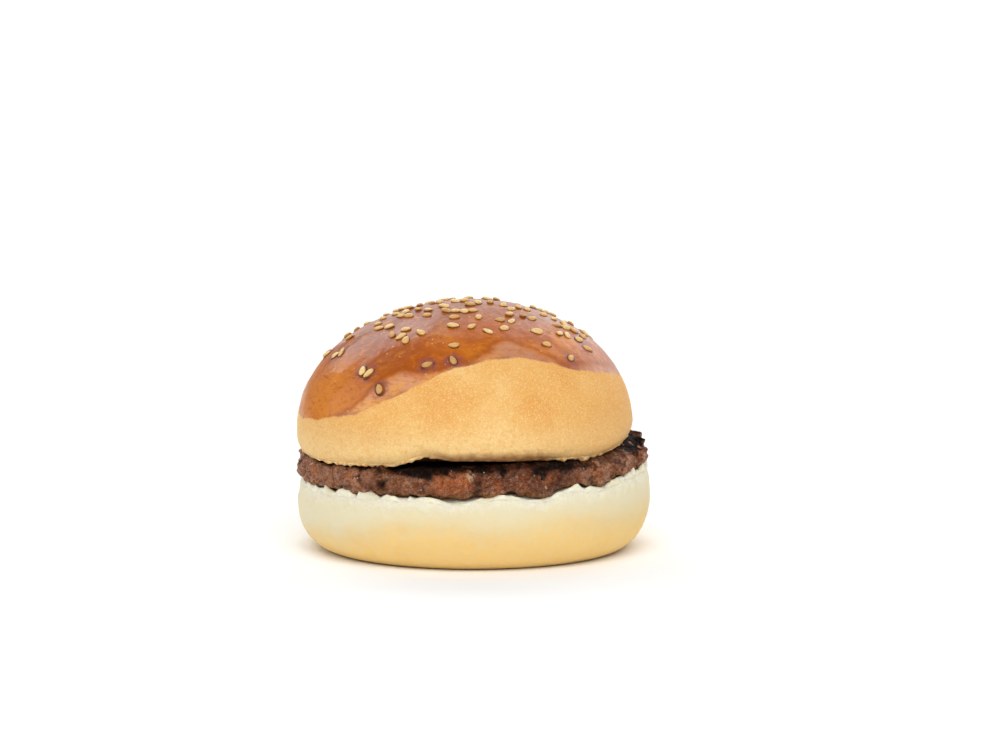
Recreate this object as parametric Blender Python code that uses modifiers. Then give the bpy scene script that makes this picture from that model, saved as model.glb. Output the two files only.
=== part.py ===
"""A plain hamburger: a bun cut in two, one beef patty between the halves, sesame seeds on the crown.

Metres, +Z up. The heel stands flat on the ground, centred on the origin. Its cut face leans up to
the right, and the patty and the crown lie on it with the same lean. Heights of the two faces where
the pieces meet come from one function each, so that a piece follows the one below it.

Azimuths go round the stack in degrees, from 0 at the front (-Y) to 90 at the right (+X).
"""

import math
import random

import bmesh
import bpy
from mathutils import Matrix, Vector, noise
from mathutils.bvhtree import BVHTree

MM = 0.001
QUARTER = math.radians(90)

# Stack
LEAN = math.radians(2.5)
GAP = 0.3 * MM

# Heel, the bottom half of the bun
HEEL_RADIUS = 50.2 * MM
HEEL_WIDEST = 14.0 * MM
HEEL_FOOT_RADIUS = 39.5 * MM
HEEL_CUT_RADIUS = 48.9 * MM
HEEL_CUT_HEIGHT = 21.6 * MM
HEEL_RIM_WIDTH = 0.8 * MM
HEEL_RIM_DROP = 0.5 * MM
HEEL_RIM_ANGLE = math.radians(55)
HEEL_FACE_RINGS = (22.0 * MM, 38.0 * MM, 42.5 * MM, 46.0 * MM)
HEEL_FOOT_RING = 20.0 * MM
HEEL_SHOULDER_STEPS = 3
HEEL_BELLY_STEPS = 7
HEEL_SEGMENTS = 64
HEEL_RAGGED = 0.5 * MM
HEEL_RAGGED_SIZE = 3.5 * MM

# Patty
PATTY_RADIUS = 49.8 * MM
PATTY_THICKNESS = 8.4 * MM
PATTY_FLAT_RADIUS = 45.5 * MM
PATTY_TOP_RINGS = (20.0 * MM, 33.0 * MM, 38.0 * MM, 42.0 * MM)
PATTY_FOOT_RINGS = (42.5 * MM, 38.0 * MM, 20.0 * MM)
PATTY_EDGE_STEPS = 8
PATTY_EDGE_FULLNESS = 0.55
PATTY_SEGMENTS = 112
PATTY_CRAG = 1.5 * MM
PATTY_CRAG_SIZE = 5.5 * MM
PATTY_CRAG_OCTAVES = 3
PATTY_WAVE_SIZE = 16.0 * MM
PATTY_WAVE_SHARE = 0.7

# Crown, the top half of the bun
CROWN_RADIUS = 48.1 * MM
CROWN_DOME = 35.0 * MM
CROWN_SKIRT = 4.9 * MM
CROWN_CUT_RADIUS = 46.6 * MM
CROWN_SHIFT = -2.2 * MM
CROWN_RIM_WIDTH = 0.9 * MM
CROWN_RIM_HEIGHT = 0.7 * MM
CROWN_RIM_ANGLE = math.radians(60)
CROWN_FACE_RINGS = (42.5 * MM, 38.5 * MM, 34.0 * MM, 18.0 * MM)
CROWN_SEGMENTS = 60
CROWN_DOME_STEPS = 14
CROWN_SKIRT_STEPS = 2
CROWN_FADE = 13.0 * MM

# Slow unevenness of both bun halves, and where in the noise each half is read
SWELL = 0.55 * MM
SWELL_SIZE = 30.0 * MM
HEEL_SWELL_PLACE = 7.0
CROWN_SWELL_PLACE = 3.0

# Where the patty presses the heel's rim down: azimuth, half width in degrees, depth
HEEL_PRESSES = (
    (-6, 16, 1.5 * MM),
    (22, 13, 2.4 * MM),
    (47, 13, 1.2 * MM),
    (98, 20, 0.9 * MM),
    (140, 16, 1.7 * MM),
    (-168, 18, 1.2 * MM),
    (-118, 16, 1.6 * MM),
)
HEEL_PRESS_FROM = 41.0 * MM
HEEL_PRESS_TO = 49.5 * MM

# Where the patty's top slopes away under the crown's rim, which sinks with it
CROWN_SAG = 0.5 * MM
CROWN_SAGS = (
    (52, 36, 2.3 * MM),
    (-60, 30, 0.4 * MM),
    (150, 34, 1.4 * MM),
    (-130, 30, 1.0 * MM),
)
CROWN_SAG_FROM = 33.0 * MM
CROWN_SAG_TO = 50.0 * MM

# Where the crown's rim arches up, clear of the patty
CROWN_LIFTS = (
    (-14, 12, 1.9 * MM),
    (-2, 28, 1.3 * MM),
    (176, 26, 1.2 * MM),
)
CROWN_LIFT_FROM = 38.0 * MM
CROWN_LIFT_TO = 46.6 * MM

# Sesame seeds
SEED_LENGTH = 3.3 * MM
SEED_WIDTH = 2.1 * MM
SEED_HEIGHT = 1.1 * MM
SEED_SIDES = 6
SEED_RINGS = 3
SEED_TAPER = 0.38
# Widening that makes up for what so few sides cut off
SEED_ROUNDING = 1.15
SEED_SINK = 0.08 * MM
SEED_SPACING = 3.1 * MM
SEED_COUNT = 148
SEED_DRAW = 23
SEED_DENSE_ANGLE = 34.0
SEED_LAST_ANGLE = 62.0
SEED_SIZES = (0.88, 1.1)
SEED_PATCH_SIZE = 14.0 * MM
SEED_PATCH_MEAN = 0.75
SEED_PATCH_SWING = 0.6
# The drawn seeds lie where tan(angle from the top) * cos(azimuth) is below this, which is the back
SEED_BACK = -0.16
# Seeds of the front and the low ones of the back: azimuth, angle from the dome's top, and turn
PLACED_SEEDS = (
    (-32, 63, 130), (-40, 56, 250), (-44, 55, 120), (53, 54, 20), (-89, 52, 50), (71, 52, -40),
    (-14, 51, 35), (-74, 50, 55), (-3, 49, 110), (-70, 48, 110), (93, 47, 30), (73, 47, -20),
    (82, 47, -10), (46, 45, 160), (-102, 43, 45), (68, 43, 40), (81, 43, -40), (-83, 41, 40),
    (-3, 41, 170), (64, 41, 0), (78, 40, -30), (-103, 39, 40), (-30, 38, 100), (86, 38, 30),
    (49, 37, 150), (73, 37, -40), (-35, 36, 240), (-106, 35, 30), (-43, 35, 150), (-24, 33, 150),
    (18, 33, 130), (86, 34, -15), (-63, 32, 30), (30, 32, 190), (-37, 31, 10), (-75, 30, 25),
    (-55, 30, 30), (85, 30, -20), (63, 29, -15), (9, 29, 40), (-4, 28, 0), (-111, 28, 20),
    (41, 28, 20), (-88, 27, 25), (33, 26, 150), (60, 26, 5), (83, 24, -20), (50, 23, 10),
    (-86, 22, 35), (-112, 22, 20), (18, 22, 60), (-4, 21, 0), (-55, 21, 0), (-66, 22, 200),
    (80, 21, -5), (65, 20, -15), (-35, 19, -10), (-75, 19, 30), (-98, 17, 20), (18, 16, 5),
    (6, 16, 150), (73, 16, -5), (-4, 15, -20), (-16, 15, -20), (-69, 15, 165), (-48, 14, 0),
    (-104, 14, 10), (76, 11, 15), (-113, 10, 5), (-33, 9, 170), (26, 9, -5), (56, 8, -10),
    (-110, 7, 0), (92, 2, 60), (-85, 1, 10),
    (118, 55, 70), (150, 49, 200), (171, 60, 20), (-160, 52, 310), (-135, 57, 100), (-112, 48, 40),
)

# Colours as sRGB, 0 to 255
HEEL_COLOUR = (236, 214, 165)
PATTY_COLOUR = (112, 70, 45)
CROWN_COLOUR = (203, 128, 52)


def smooth(low, high, value):
    """0 below low, 1 above high, and an even curve between them."""
    t = min(1.0, max(0.0, (value - low) / (high - low)))
    return t * t * (3.0 - 2.0 * t)


def azimuth(x, y):
    """Azimuth in degrees of a point, from the front towards the right."""
    return math.degrees(math.atan2(x, -y))


def lobes(angle, table):
    """Sum of the smooth bumps in a table of azimuth, half width and size."""
    total = 0.0
    for middle, width, size in table:
        away = abs(math.remainder(angle - middle, 360.0)) / width
        total += size * (1.0 - smooth(0.0, 1.0, away))
    return total


def heel_press(x, y):
    """How far the heel's cut face, and the patty's underside, lie below the leaning plane."""
    return lobes(azimuth(x, y), HEEL_PRESSES) * smooth(HEEL_PRESS_FROM, HEEL_PRESS_TO, math.hypot(x, y))


def crown_sag(x, y):
    """How far the patty's top, and the crown's cut face, lie below their plane."""
    depth = CROWN_SAG + lobes(azimuth(x, y), CROWN_SAGS)
    return depth * smooth(CROWN_SAG_FROM, CROWN_SAG_TO, math.hypot(x, y))


def crown_lift(x, y):
    """How far the crown's rim arches up from the patty."""
    return lobes(azimuth(x, y), CROWN_LIFTS) * smooth(CROWN_LIFT_FROM, CROWN_LIFT_TO, math.hypot(x, y))


def swell(point, offset):
    """Slow unevenness, as a length that is added outwards."""
    return SWELL * noise.noise(point / SWELL_SIZE + Vector((offset, 0.0, 0.0)))


def linear(colour):
    """Scene linear RGBA of an sRGB colour given as 0 to 255."""
    channels = []
    for value in colour:
        c = value / 255.0
        channels.append(c / 12.92 if c <= 0.04045 else ((c + 0.055) / 1.055) ** 2.4)
    return (*channels, 1.0)


def material(name, colour, roughness):
    """Principled material of one colour."""
    mat = bpy.data.materials.new(name)
    mat.use_nodes = True
    shader = mat.node_tree.nodes["Principled BSDF"]
    shader.inputs["Base Color"].default_value = linear(colour)
    shader.inputs["Roughness"].default_value = roughness
    shader.inputs["Metallic"].default_value = 0.0
    return mat


def turned(name, outline, segments, mat, collection):
    """Solid turned from an outline of (radius, height) points, from its top down the outer side."""
    mesh = bpy.data.meshes.new(name + "_outline")
    points = [(radius, 0.0, height) for radius, height in outline]
    mesh.from_pydata(points, [(i, i + 1) for i in range(len(points) - 1)], [])
    profile = bpy.data.objects.new(name + "_outline", mesh)
    collection.objects.link(profile)
    screw = profile.modifiers.new("Turn", "SCREW")
    screw.steps = segments
    screw.render_steps = segments
    screw.use_merge_vertices = True
    screw.merge_threshold = 0.00001
    evaluated = profile.evaluated_get(bpy.context.evaluated_depsgraph_get())
    body = bpy.data.meshes.new_from_object(evaluated)
    bpy.data.objects.remove(profile)
    body.name = name
    body.materials.clear()
    body.materials.append(mat)
    body.shade_smooth()
    solid = bpy.data.objects.new(name, body)
    collection.objects.link(solid)
    return solid


def arc(start, end, start_angle, end_angle, steps):
    """Points of an ellipse's arc between two (radius, height) points, without the first.

    The angles say which stretch of the ellipse the points bound: 0 is its widest place, and 90
    and -90 degrees are its top and bottom.
    """
    points = []
    for i in range(1, steps + 1):
        angle = start_angle + (end_angle - start_angle) * i / steps
        across = (math.cos(angle) - math.cos(start_angle)) / (math.cos(end_angle) - math.cos(start_angle))
        along = (math.sin(angle) - math.sin(start_angle)) / (math.sin(end_angle) - math.sin(start_angle))
        radius = start[0] + (end[0] - start[0]) * across
        height = start[1] + (end[1] - start[1]) * along
        points.append((radius, height))
    return points


def make_heel(collection):
    """Heel: a flat-footed round of bun, widest two thirds of the way up, cut off at a lean."""
    rim = (HEEL_CUT_RADIUS, HEEL_CUT_HEIGHT - HEEL_RIM_DROP)
    widest = (HEEL_RADIUS, HEEL_WIDEST)
    outline = [(0.0, HEEL_CUT_HEIGHT)]
    outline += [(radius, HEEL_CUT_HEIGHT) for radius in HEEL_FACE_RINGS]
    outline += [(HEEL_CUT_RADIUS - HEEL_RIM_WIDTH, HEEL_CUT_HEIGHT), rim]
    outline += arc(rim, widest, HEEL_RIM_ANGLE, 0.0, HEEL_SHOULDER_STEPS)
    outline += arc(widest, (HEEL_FOOT_RADIUS, 0.0), 0.0, -QUARTER, HEEL_BELLY_STEPS)
    outline += [(HEEL_FOOT_RING, 0.0), (0.0, 0.0)]
    heel = turned("bottom_bun", outline, HEEL_SEGMENTS, material("heel", HEEL_COLOUR, 0.75), collection)
    for vert in heel.data.vertices:
        x, y, z = vert.co
        if z <= 0.0:
            continue
        height = z / HEEL_CUT_HEIGHT
        radius = math.hypot(x, y)
        side = smooth(HEEL_FOOT_RING, HEEL_FOOT_RADIUS, radius)
        ragged = HEEL_RAGGED * noise.noise(vert.co / HEEL_RAGGED_SIZE) * smooth(0.9, 1.0, height)
        outward = side * (swell(vert.co, HEEL_SWELL_PLACE) * height + ragged)
        scale = 1.0 + outward / max(radius, MM)
        press = heel_press(x, y) * height ** 4
        vert.co = (x * scale, y * scale, z + height * x * math.tan(LEAN) - press)
    return heel


def patty_outline():
    """Half section of the patty before its crags: flat faces and a full, rounded edge."""
    bulge = PATTY_RADIUS - PATTY_FLAT_RADIUS
    half = PATTY_THICKNESS / 2
    outline = [(0.0, PATTY_THICKNESS)]
    outline += [(radius, PATTY_THICKNESS) for radius in PATTY_TOP_RINGS]
    outline.append((PATTY_FLAT_RADIUS, PATTY_THICKNESS))
    for i in range(1, PATTY_EDGE_STEPS):
        angle = QUARTER - 2 * QUARTER * i / PATTY_EDGE_STEPS
        reach = math.cos(angle) ** PATTY_EDGE_FULLNESS
        outline.append((PATTY_FLAT_RADIUS + bulge * reach, half + half * math.sin(angle)))
    outline.append((PATTY_FLAT_RADIUS, 0.0))
    outline += [(radius, 0.0) for radius in PATTY_FOOT_RINGS]
    outline.append((0.0, 0.0))
    return outline


def make_patty(collection):
    """Patty: a flat round of meat with a craggy edge, between the two faces of the bun."""
    patty = turned("patty", patty_outline(), PATTY_SEGMENTS, material("patty", PATTY_COLOUR, 0.6), collection)
    for vert in patty.data.vertices:
        x, y, z = vert.co
        radius = math.hypot(x, y)
        up = z / PATTY_THICKNESS
        edge = smooth(PATTY_FLAT_RADIUS, PATTY_RADIUS, radius)
        crag = noise.fractal(vert.co / PATTY_CRAG_SIZE, 1.0, 2.0, PATTY_CRAG_OCTAVES)
        crag += PATTY_WAVE_SHARE * noise.noise(vert.co / PATTY_WAVE_SIZE)
        scale = 1.0 + edge * PATTY_CRAG * crag / max(radius, MM)
        drop = heel_press(x, y) * (1.0 - up) + crown_sag(x, y) * up
        vert.co = (x * scale, y * scale, z - drop)
    patty.location = (0.0, 0.0, HEEL_CUT_HEIGHT + GAP)
    patty.rotation_euler = (0.0, -LEAN, 0.0)
    return patty


def make_dome(collection):
    """Crown without its seeds: half an egg-shaped dome over a short skirt that curls in."""
    top = (0.0, CROWN_SKIRT + CROWN_DOME)
    widest = (CROWN_RADIUS, CROWN_SKIRT)
    rim = (CROWN_CUT_RADIUS, CROWN_RIM_HEIGHT)
    outline = [top]
    outline += arc(top, widest, QUARTER, 0.0, CROWN_DOME_STEPS)
    outline += arc(widest, rim, 0.0, -CROWN_RIM_ANGLE, CROWN_SKIRT_STEPS)
    outline.append((CROWN_CUT_RADIUS - CROWN_RIM_WIDTH, 0.0))
    outline += [(radius, 0.0) for radius in CROWN_FACE_RINGS]
    outline.append((0.0, 0.0))
    dome = turned("top_bun", outline, CROWN_SEGMENTS, material("crown", CROWN_COLOUR, 0.4), collection)
    for vert in dome.data.vertices:
        x, y, z = vert.co
        face = 1.0 - smooth(0.0, CROWN_FADE, z)
        skin = smooth(0.0, CROWN_SKIRT, z)
        vert.co += vert.co.normalized() * swell(vert.co, CROWN_SWELL_PLACE) * skin
        vert.co.z += face * (crown_lift(x, y) - crown_sag(x + CROWN_SHIFT, y))
    return dome


def make_seed(collection, mat):
    """One sesame seed: a flat drop, its length along X and its narrow end at +X."""
    mesh = bpy.data.meshes.new("seed")
    shape = bmesh.new()
    bmesh.ops.create_uvsphere(shape, u_segments=SEED_SIDES, v_segments=SEED_RINGS, radius=0.5)
    bmesh.ops.rotate(shape, verts=shape.verts, matrix=Matrix.Rotation(QUARTER, 3, "Y"))
    for vert in shape.verts:
        vert.co.y *= 1.0 - SEED_TAPER * (0.5 + vert.co.x)
    size = (SEED_LENGTH, SEED_WIDTH * SEED_ROUNDING, SEED_HEIGHT * SEED_ROUNDING)
    bmesh.ops.scale(shape, verts=shape.verts, vec=size)
    shape.to_mesh(mesh)
    shape.free()
    mesh.materials.append(mat)
    seed = bpy.data.objects.new("seed", mesh)
    collection.objects.link(seed)
    return seed


def dome_point(around, down):
    """Point of the plain dome at an azimuth and at an angle from its top, both in degrees."""
    a, d = math.radians(around), math.radians(down)
    out = CROWN_RADIUS * math.sin(d)
    return Vector((out * math.sin(a), -out * math.cos(a), CROWN_SKIRT + CROWN_DOME * math.cos(d)))


def seed_places():
    """Where the seeds lie, as azimuth, angle from the top, turn and size.

    The placed seeds come first. The others are drawn evenly over the back of the dome's top,
    thinner towards the last angle and in loose patches, and none is nearer to another than the
    spacing.
    """
    draw = random.Random(SEED_DRAW)
    places = []
    points = []
    for around, down, turn in PLACED_SEEDS:
        places.append((around, down, turn, draw.uniform(*SEED_SIZES)))
        points.append(dome_point(around, down))
    while len(places) < SEED_COUNT:
        around = draw.uniform(-180, 180)
        down = math.degrees(math.acos(draw.uniform(math.cos(math.radians(SEED_LAST_ANGLE)), 1.0)))
        turn = draw.uniform(0, 360)
        size = draw.uniform(*SEED_SIZES)
        chance = draw.random()
        if math.tan(math.radians(down)) * math.cos(math.radians(around)) > SEED_BACK:
            continue
        point = dome_point(around, down)
        patch = SEED_PATCH_MEAN + SEED_PATCH_SWING * noise.noise(point / SEED_PATCH_SIZE)
        if chance > patch * (1.0 - smooth(SEED_DENSE_ANGLE, SEED_LAST_ANGLE, down)):
            continue
        if min((point - other).length for other in points) < SEED_SPACING:
            continue
        places.append((around, down, turn, size))
        points.append(point)
    return places


def sow(dome, collection, mat):
    """Lay the seeds on the dome, each half sunk in its skin."""
    pattern = make_seed(collection, mat)
    tree = BVHTree.FromObject(dome, bpy.context.evaluated_depsgraph_get())
    heart = Vector((0.0, 0.0, CROWN_SKIRT))
    for number, (around, down, turn, size) in enumerate(seed_places()):
        ray = (dome_point(around, down) - heart).normalized()
        point, normal, _, _ = tree.ray_cast(heart, ray)
        flat = normal.to_track_quat("Z", "Y").to_matrix().to_4x4()
        spin = Matrix.Rotation(math.radians(turn), 4, "Z")
        seed = bpy.data.objects.new(f"seed_{number:03d}", pattern.data)
        collection.objects.link(seed)
        foot = Matrix.Translation(point - normal * SEED_SINK)
        seed.matrix_world = foot @ flat @ spin @ Matrix.Scale(size, 4)
    bpy.data.objects.remove(pattern)


def make_crown(collection):
    """Crown: the dome with its seeds fused on, laid on the patty with the stack's lean."""
    crown = make_dome(collection)
    seeds = bpy.data.collections.new("seeds")
    bpy.context.scene.collection.children.link(seeds)
    sow(crown, seeds, crown.data.materials[0])
    union = crown.modifiers.new("Seeds", "BOOLEAN")
    union.operation = "UNION"
    union.operand_type = "COLLECTION"
    union.collection = seeds
    union.solver = "EXACT"
    evaluated = crown.evaluated_get(bpy.context.evaluated_depsgraph_get())
    fused = bpy.data.meshes.new_from_object(evaluated)
    crown.modifiers.clear()
    crown.data = fused
    for seed in list(seeds.objects):
        bpy.data.objects.remove(seed)
    bpy.data.collections.remove(seeds)
    height = GAP + PATTY_THICKNESS + GAP
    along = Vector((CROWN_SHIFT, 0.0, height))
    lean = Matrix.Rotation(-LEAN, 3, "Y")
    crown.location = Vector((0.0, 0.0, HEEL_CUT_HEIGHT)) + lean @ along
    crown.rotation_euler = (0.0, -LEAN, 0.0)
    return crown


def main():
    """Clear the scene and make the three pieces."""
    for obj in list(bpy.data.objects):
        bpy.data.objects.remove(obj)
    burger = bpy.data.collections.new("hamburger")
    bpy.context.scene.collection.children.link(burger)
    make_heel(burger)
    make_patty(burger)
    make_crown(burger)
    bpy.context.view_layer.update()


main()
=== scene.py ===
"""The looks of a plain hamburger: sesame seed bun, craggy beef patty and torn crumb along the cuts.

The three food pieces take the forms of the frame's nodes from the same driving sizes, at a finer
grain. Sizes are in metres, unless a docstring says millimetres. Azimuths go round the stack in
degrees, from 0 at the front (-Y) to 90 at the right (+X).
"""

import logging
import math
import random
from collections.abc import Callable, Iterable, Iterator, Sequence
from contextlib import contextmanager
from dataclasses import dataclass
from enum import Enum
from typing import ClassVar

import bpy
import numpy as np
from mathutils import Matrix, Vector, noise
from mathutils.bvhtree import BVHTree


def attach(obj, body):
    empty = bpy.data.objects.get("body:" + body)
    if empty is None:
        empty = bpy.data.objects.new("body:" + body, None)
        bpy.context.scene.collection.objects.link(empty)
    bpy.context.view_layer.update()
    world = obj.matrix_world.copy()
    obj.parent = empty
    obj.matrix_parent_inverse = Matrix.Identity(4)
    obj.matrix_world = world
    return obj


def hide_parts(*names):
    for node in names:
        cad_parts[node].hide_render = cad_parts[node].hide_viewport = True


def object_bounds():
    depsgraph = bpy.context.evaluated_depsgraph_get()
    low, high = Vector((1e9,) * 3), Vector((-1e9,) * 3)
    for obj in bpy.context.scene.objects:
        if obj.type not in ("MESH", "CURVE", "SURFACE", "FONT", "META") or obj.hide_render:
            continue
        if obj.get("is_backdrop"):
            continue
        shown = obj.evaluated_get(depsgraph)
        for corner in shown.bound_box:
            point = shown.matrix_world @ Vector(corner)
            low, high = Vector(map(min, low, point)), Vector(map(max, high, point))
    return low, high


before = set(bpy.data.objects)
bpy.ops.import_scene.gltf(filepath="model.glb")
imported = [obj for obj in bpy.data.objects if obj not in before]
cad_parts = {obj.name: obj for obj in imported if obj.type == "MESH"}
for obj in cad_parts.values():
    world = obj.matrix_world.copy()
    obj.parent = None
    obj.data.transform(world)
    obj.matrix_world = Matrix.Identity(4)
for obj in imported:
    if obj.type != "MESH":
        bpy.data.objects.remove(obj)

CAD_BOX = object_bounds()

LOG = logging.getLogger("hamburger")
MM = 0.001
QUARTER = math.radians(90)
ORIGIN = (0.0, 0.0, 0.0)
BODY = "root"
# Radius of the innermost ring of each body.
CORE = 2.0 * MM
# Shifts of the three noises that make up a drift.
DRIFTS = ((17.3, 5.1, 9.7), (3.9, 41.2, 2.6), (8.4, 12.8, 33.5))
# Places across the stack, in millimetres, between which a colour rises and falls.
# The first span darkens the crown's lower edge with painted shade over the dark gap.
PAINTED_RIM_SHADE = (-17.0, -5.0, 18.0, 26.0)
RED_MIDDLE = (-30.0, 4.0, 24.0, 36.0)

Lobe = tuple[float, float, float]
Spot = tuple[float, float, float, float]
Point = tuple[float, float]
Range = tuple[float, float]
Colour = tuple[float, float, float]
Piece = bpy.types.Object
Socket = bpy.types.NodeSocket


class Node(Enum):
    """The frame's nodes."""

    HEEL = "bottom_bun"
    PATTY = "patty"
    CROWN = "top_bun"


class Slot(Enum):
    """The record's material slots."""

    HEEL = "bun_heel"
    BEEF = "beef"
    CROWN = "bun_crown"
    SESAME = "sesame"


class Mark(Enum):
    """Values kept on a mesh's points, which the finishes read."""

    GLAZE = "above_glaze_edge"
    THICK = "above_thick_glaze_edge"
    SEED = "from_low_seed"
    RIM = "from_rim"
    LUMP = "lump"
    HOLLOW = "hollow_shade"
    # Char on the patty, together with painted shade under the crown.
    CHAR = "char"
    WARM = "warm"
    FAT = "fat"
    FOOT = "near_foot"
    TONE = "tone"


def smooth(low: float, high: float, value: float) -> float:
    """0 below low, 1 above high, and an even curve between them."""
    t = min(1.0, max(0.0, (value - low) / (high - low)))
    return t * t * (3.0 - 2.0 * t)


def azimuth(x: float, y: float) -> float:
    """Azimuth in degrees of a point, from the front towards the right."""
    return math.degrees(math.atan2(x, -y))


def round_point(around: float, radius: float, height: float) -> Vector:
    """Point at an azimuth in degrees, a distance from the axis and a height."""
    a = math.radians(around)
    return Vector((radius * math.sin(a), -radius * math.cos(a), height))


def lobes(angle: float, table: Iterable[Lobe]) -> float:
    """Sum of the smooth bumps in a table of azimuth, half width and size.

    Args:
        angle: The azimuth.
        table: The bumps.

    Returns:
        The sum.
    """
    total = 0.0
    for middle, width, size in table:
        away = abs(math.remainder(angle - middle, 360.0)) / width
        total += size * (1.0 - smooth(0.0, 1.0, away))
    return total


def spots(around: float, height: float, table: Iterable[Spot]) -> float:
    """Sum of the round spots in a table of azimuth, height, half width and strength.

    Args:
        around: The azimuth.
        height: The height.
        table: The spots.

    Returns:
        The sum.
    """
    total = 0.0
    for middle, level, width, strength in table:
        away = math.hypot(math.remainder(around - middle, 360.0), height - level) / width
        total += strength * (1.0 - smooth(0.0, 1.0, away))
    return total


def drift(point: Vector) -> Vector:
    """Smooth random vector at a point, the same in every run."""
    return Vector([noise.noise(point + Vector(shift)) for shift in DRIFTS])


def srgb(red: int, green: int, blue: int) -> Colour:
    """Scene linear colour of an sRGB colour given as 0 to 255.

    Args:
        red: Its red.
        green: Its green.
        blue: Its blue.

    Returns:
        The linear colour.
    """
    channels = []
    for value in (red, green, blue):
        c = value / 255.0
        channels.append(c / 12.92 if c <= 0.04045 else ((c + 0.055) / 1.055) ** 2.4)
    return tuple(channels)


@dataclass(frozen=True)
class Stack:
    """How the pieces lie on each other: the lean, and the two faces where they meet."""

    lean: float = math.radians(2.5)
    gap: float = 0.3 * MM
    cut_height: float = 21.6 * MM
    patty_thickness: float = 8.4 * MM
    crown_shift: float = -2.2 * MM
    presses: tuple[Lobe, ...] = (
        (-6, 16, 1.5 * MM), (22, 13, 2.4 * MM), (47, 13, 1.2 * MM), (98, 20, 0.9 * MM),
        (140, 16, 1.7 * MM), (-168, 18, 1.2 * MM), (-118, 16, 1.6 * MM),
    )
    pressed: Range = (41.0 * MM, 49.5 * MM)
    sag: float = 0.5 * MM
    sags: tuple[Lobe, ...] = (
        (52, 36, 2.3 * MM), (-60, 30, 0.4 * MM), (150, 34, 1.4 * MM), (-130, 30, 1.0 * MM),
    )
    sagging: Range = (33.0 * MM, 50.0 * MM)
    lifts: tuple[Lobe, ...] = ((-14, 12, 1.9 * MM), (-2, 28, 1.3 * MM), (176, 26, 1.2 * MM))
    lifted: Range = (38.0 * MM, 46.6 * MM)
    swell_depth: float = 0.55 * MM
    swell_size: float = 30.0 * MM

    def press(self, x: float, y: float) -> float:
        """How far the heel's cut face lies below the leaning plane."""
        return lobes(azimuth(x, y), self.presses) * smooth(*self.pressed, math.hypot(x, y))

    def sink(self, x: float, y: float) -> float:
        """How far the patty's top and the crown's cut face lie below their plane."""
        depth = self.sag + lobes(azimuth(x, y), self.sags)
        return depth * smooth(*self.sagging, math.hypot(x, y))

    def lift(self, x: float, y: float) -> float:
        """How far the crown's rim arches up from the patty."""
        return lobes(azimuth(x, y), self.lifts) * smooth(*self.lifted, math.hypot(x, y))

    def swell(self, point: Vector, place: float) -> float:
        """Slow unevenness of a bun half, as a length that is added outwards."""
        return self.swell_depth * noise.noise(point / self.swell_size + Vector((place, 0.0, 0.0)))

    def patty_place(self) -> Matrix:
        """Where the patty's own frame lies."""
        foot = Matrix.Translation((0.0, 0.0, self.cut_height + self.gap))
        return foot @ Matrix.Rotation(-self.lean, 4, "Y")

    def crown_place(self) -> Matrix:
        """Where the crown's own frame lies.

        Returns:
            The matrix that places it.
        """
        turn = Matrix.Rotation(-self.lean, 4, "Y")
        along = Matrix.Translation((self.crown_shift, 0.0, self.patty_thickness + 2 * self.gap))
        return Matrix.Translation((0.0, 0.0, self.cut_height)) @ turn @ along


def arc(start: Point, end: Point, start_angle: float, end_angle: float, steps: int) -> list[Point]:
    """Points of an ellipse's arc between two (radius, height) points, without the first.

    Args:
        start: The first point.
        end: The last point.
        start_angle: Where on the ellipse the first point lies: 0 is its widest place.
        end_angle: Where on the ellipse the last point lies.
        steps: How many points are made.

    Returns:
        The points after the first.
    """
    points = []
    for i in range(1, steps + 1):
        angle = start_angle + (end_angle - start_angle) * i / steps
        across = (math.cos(angle) - math.cos(start_angle)) / (math.cos(end_angle) - math.cos(start_angle))
        along = (math.sin(angle) - math.sin(start_angle)) / (math.sin(end_angle) - math.sin(start_angle))
        points.append((start[0] + (end[0] - start[0]) * across, start[1] + (end[1] - start[1]) * along))
    return points


def line(start: Point, end: Point, steps: int) -> list[Point]:
    """Evenly spaced points from one (radius, height) point to another, without the first.

    Args:
        start: The first point.
        end: The last point.
        steps: How many points are made.

    Returns:
        The points after the first.
    """
    points = []
    for i in range(1, steps + 1):
        t = i / steps
        points.append((start[0] + (end[0] - start[0]) * t, start[1] + (end[1] - start[1]) * t))
    return points


def primitive(operator: Callable[..., set[str]], name: str, **options: object) -> Piece:
    """Add a primitive, as the only object that is selected.

    Args:
        operator: The operator that adds it.
        name: The name it gets.
        options: What the operator is told.

    Returns:
        The object.
    """
    bpy.ops.object.select_all(action="DESELECT")
    operator(**options)
    piece = bpy.context.active_object
    piece.name = name
    return piece


@contextmanager
def editing() -> Iterator[None]:
    """Edit the active object's whole mesh as long as the block lasts.

    Returns:
        Nothing; the block runs in edit mode.
    """
    bpy.ops.object.mode_set(mode="EDIT")
    bpy.ops.mesh.select_all(action="SELECT")
    yield
    bpy.ops.object.mode_set(mode="OBJECT")


def resize(piece: Piece, *factors: float) -> Piece:
    """Scale the active object's mesh along each axis, and give the object back.

    Args:
        piece: The active object.
        factors: The scale along X, Y and Z.

    Returns:
        The object.
    """
    with editing():
        bpy.ops.transform.resize(value=factors, center_override=ORIGIN)
    return piece


def smooth_out(piece: Piece) -> Piece:
    """Point the active object's faces outwards, shade them smooth, and give the object back.

    Args:
        piece: The active object.

    Returns:
        The object.
    """
    with editing():
        bpy.ops.mesh.normals_make_consistent(inside=False)
    bpy.ops.object.shade_smooth()
    return piece


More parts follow.
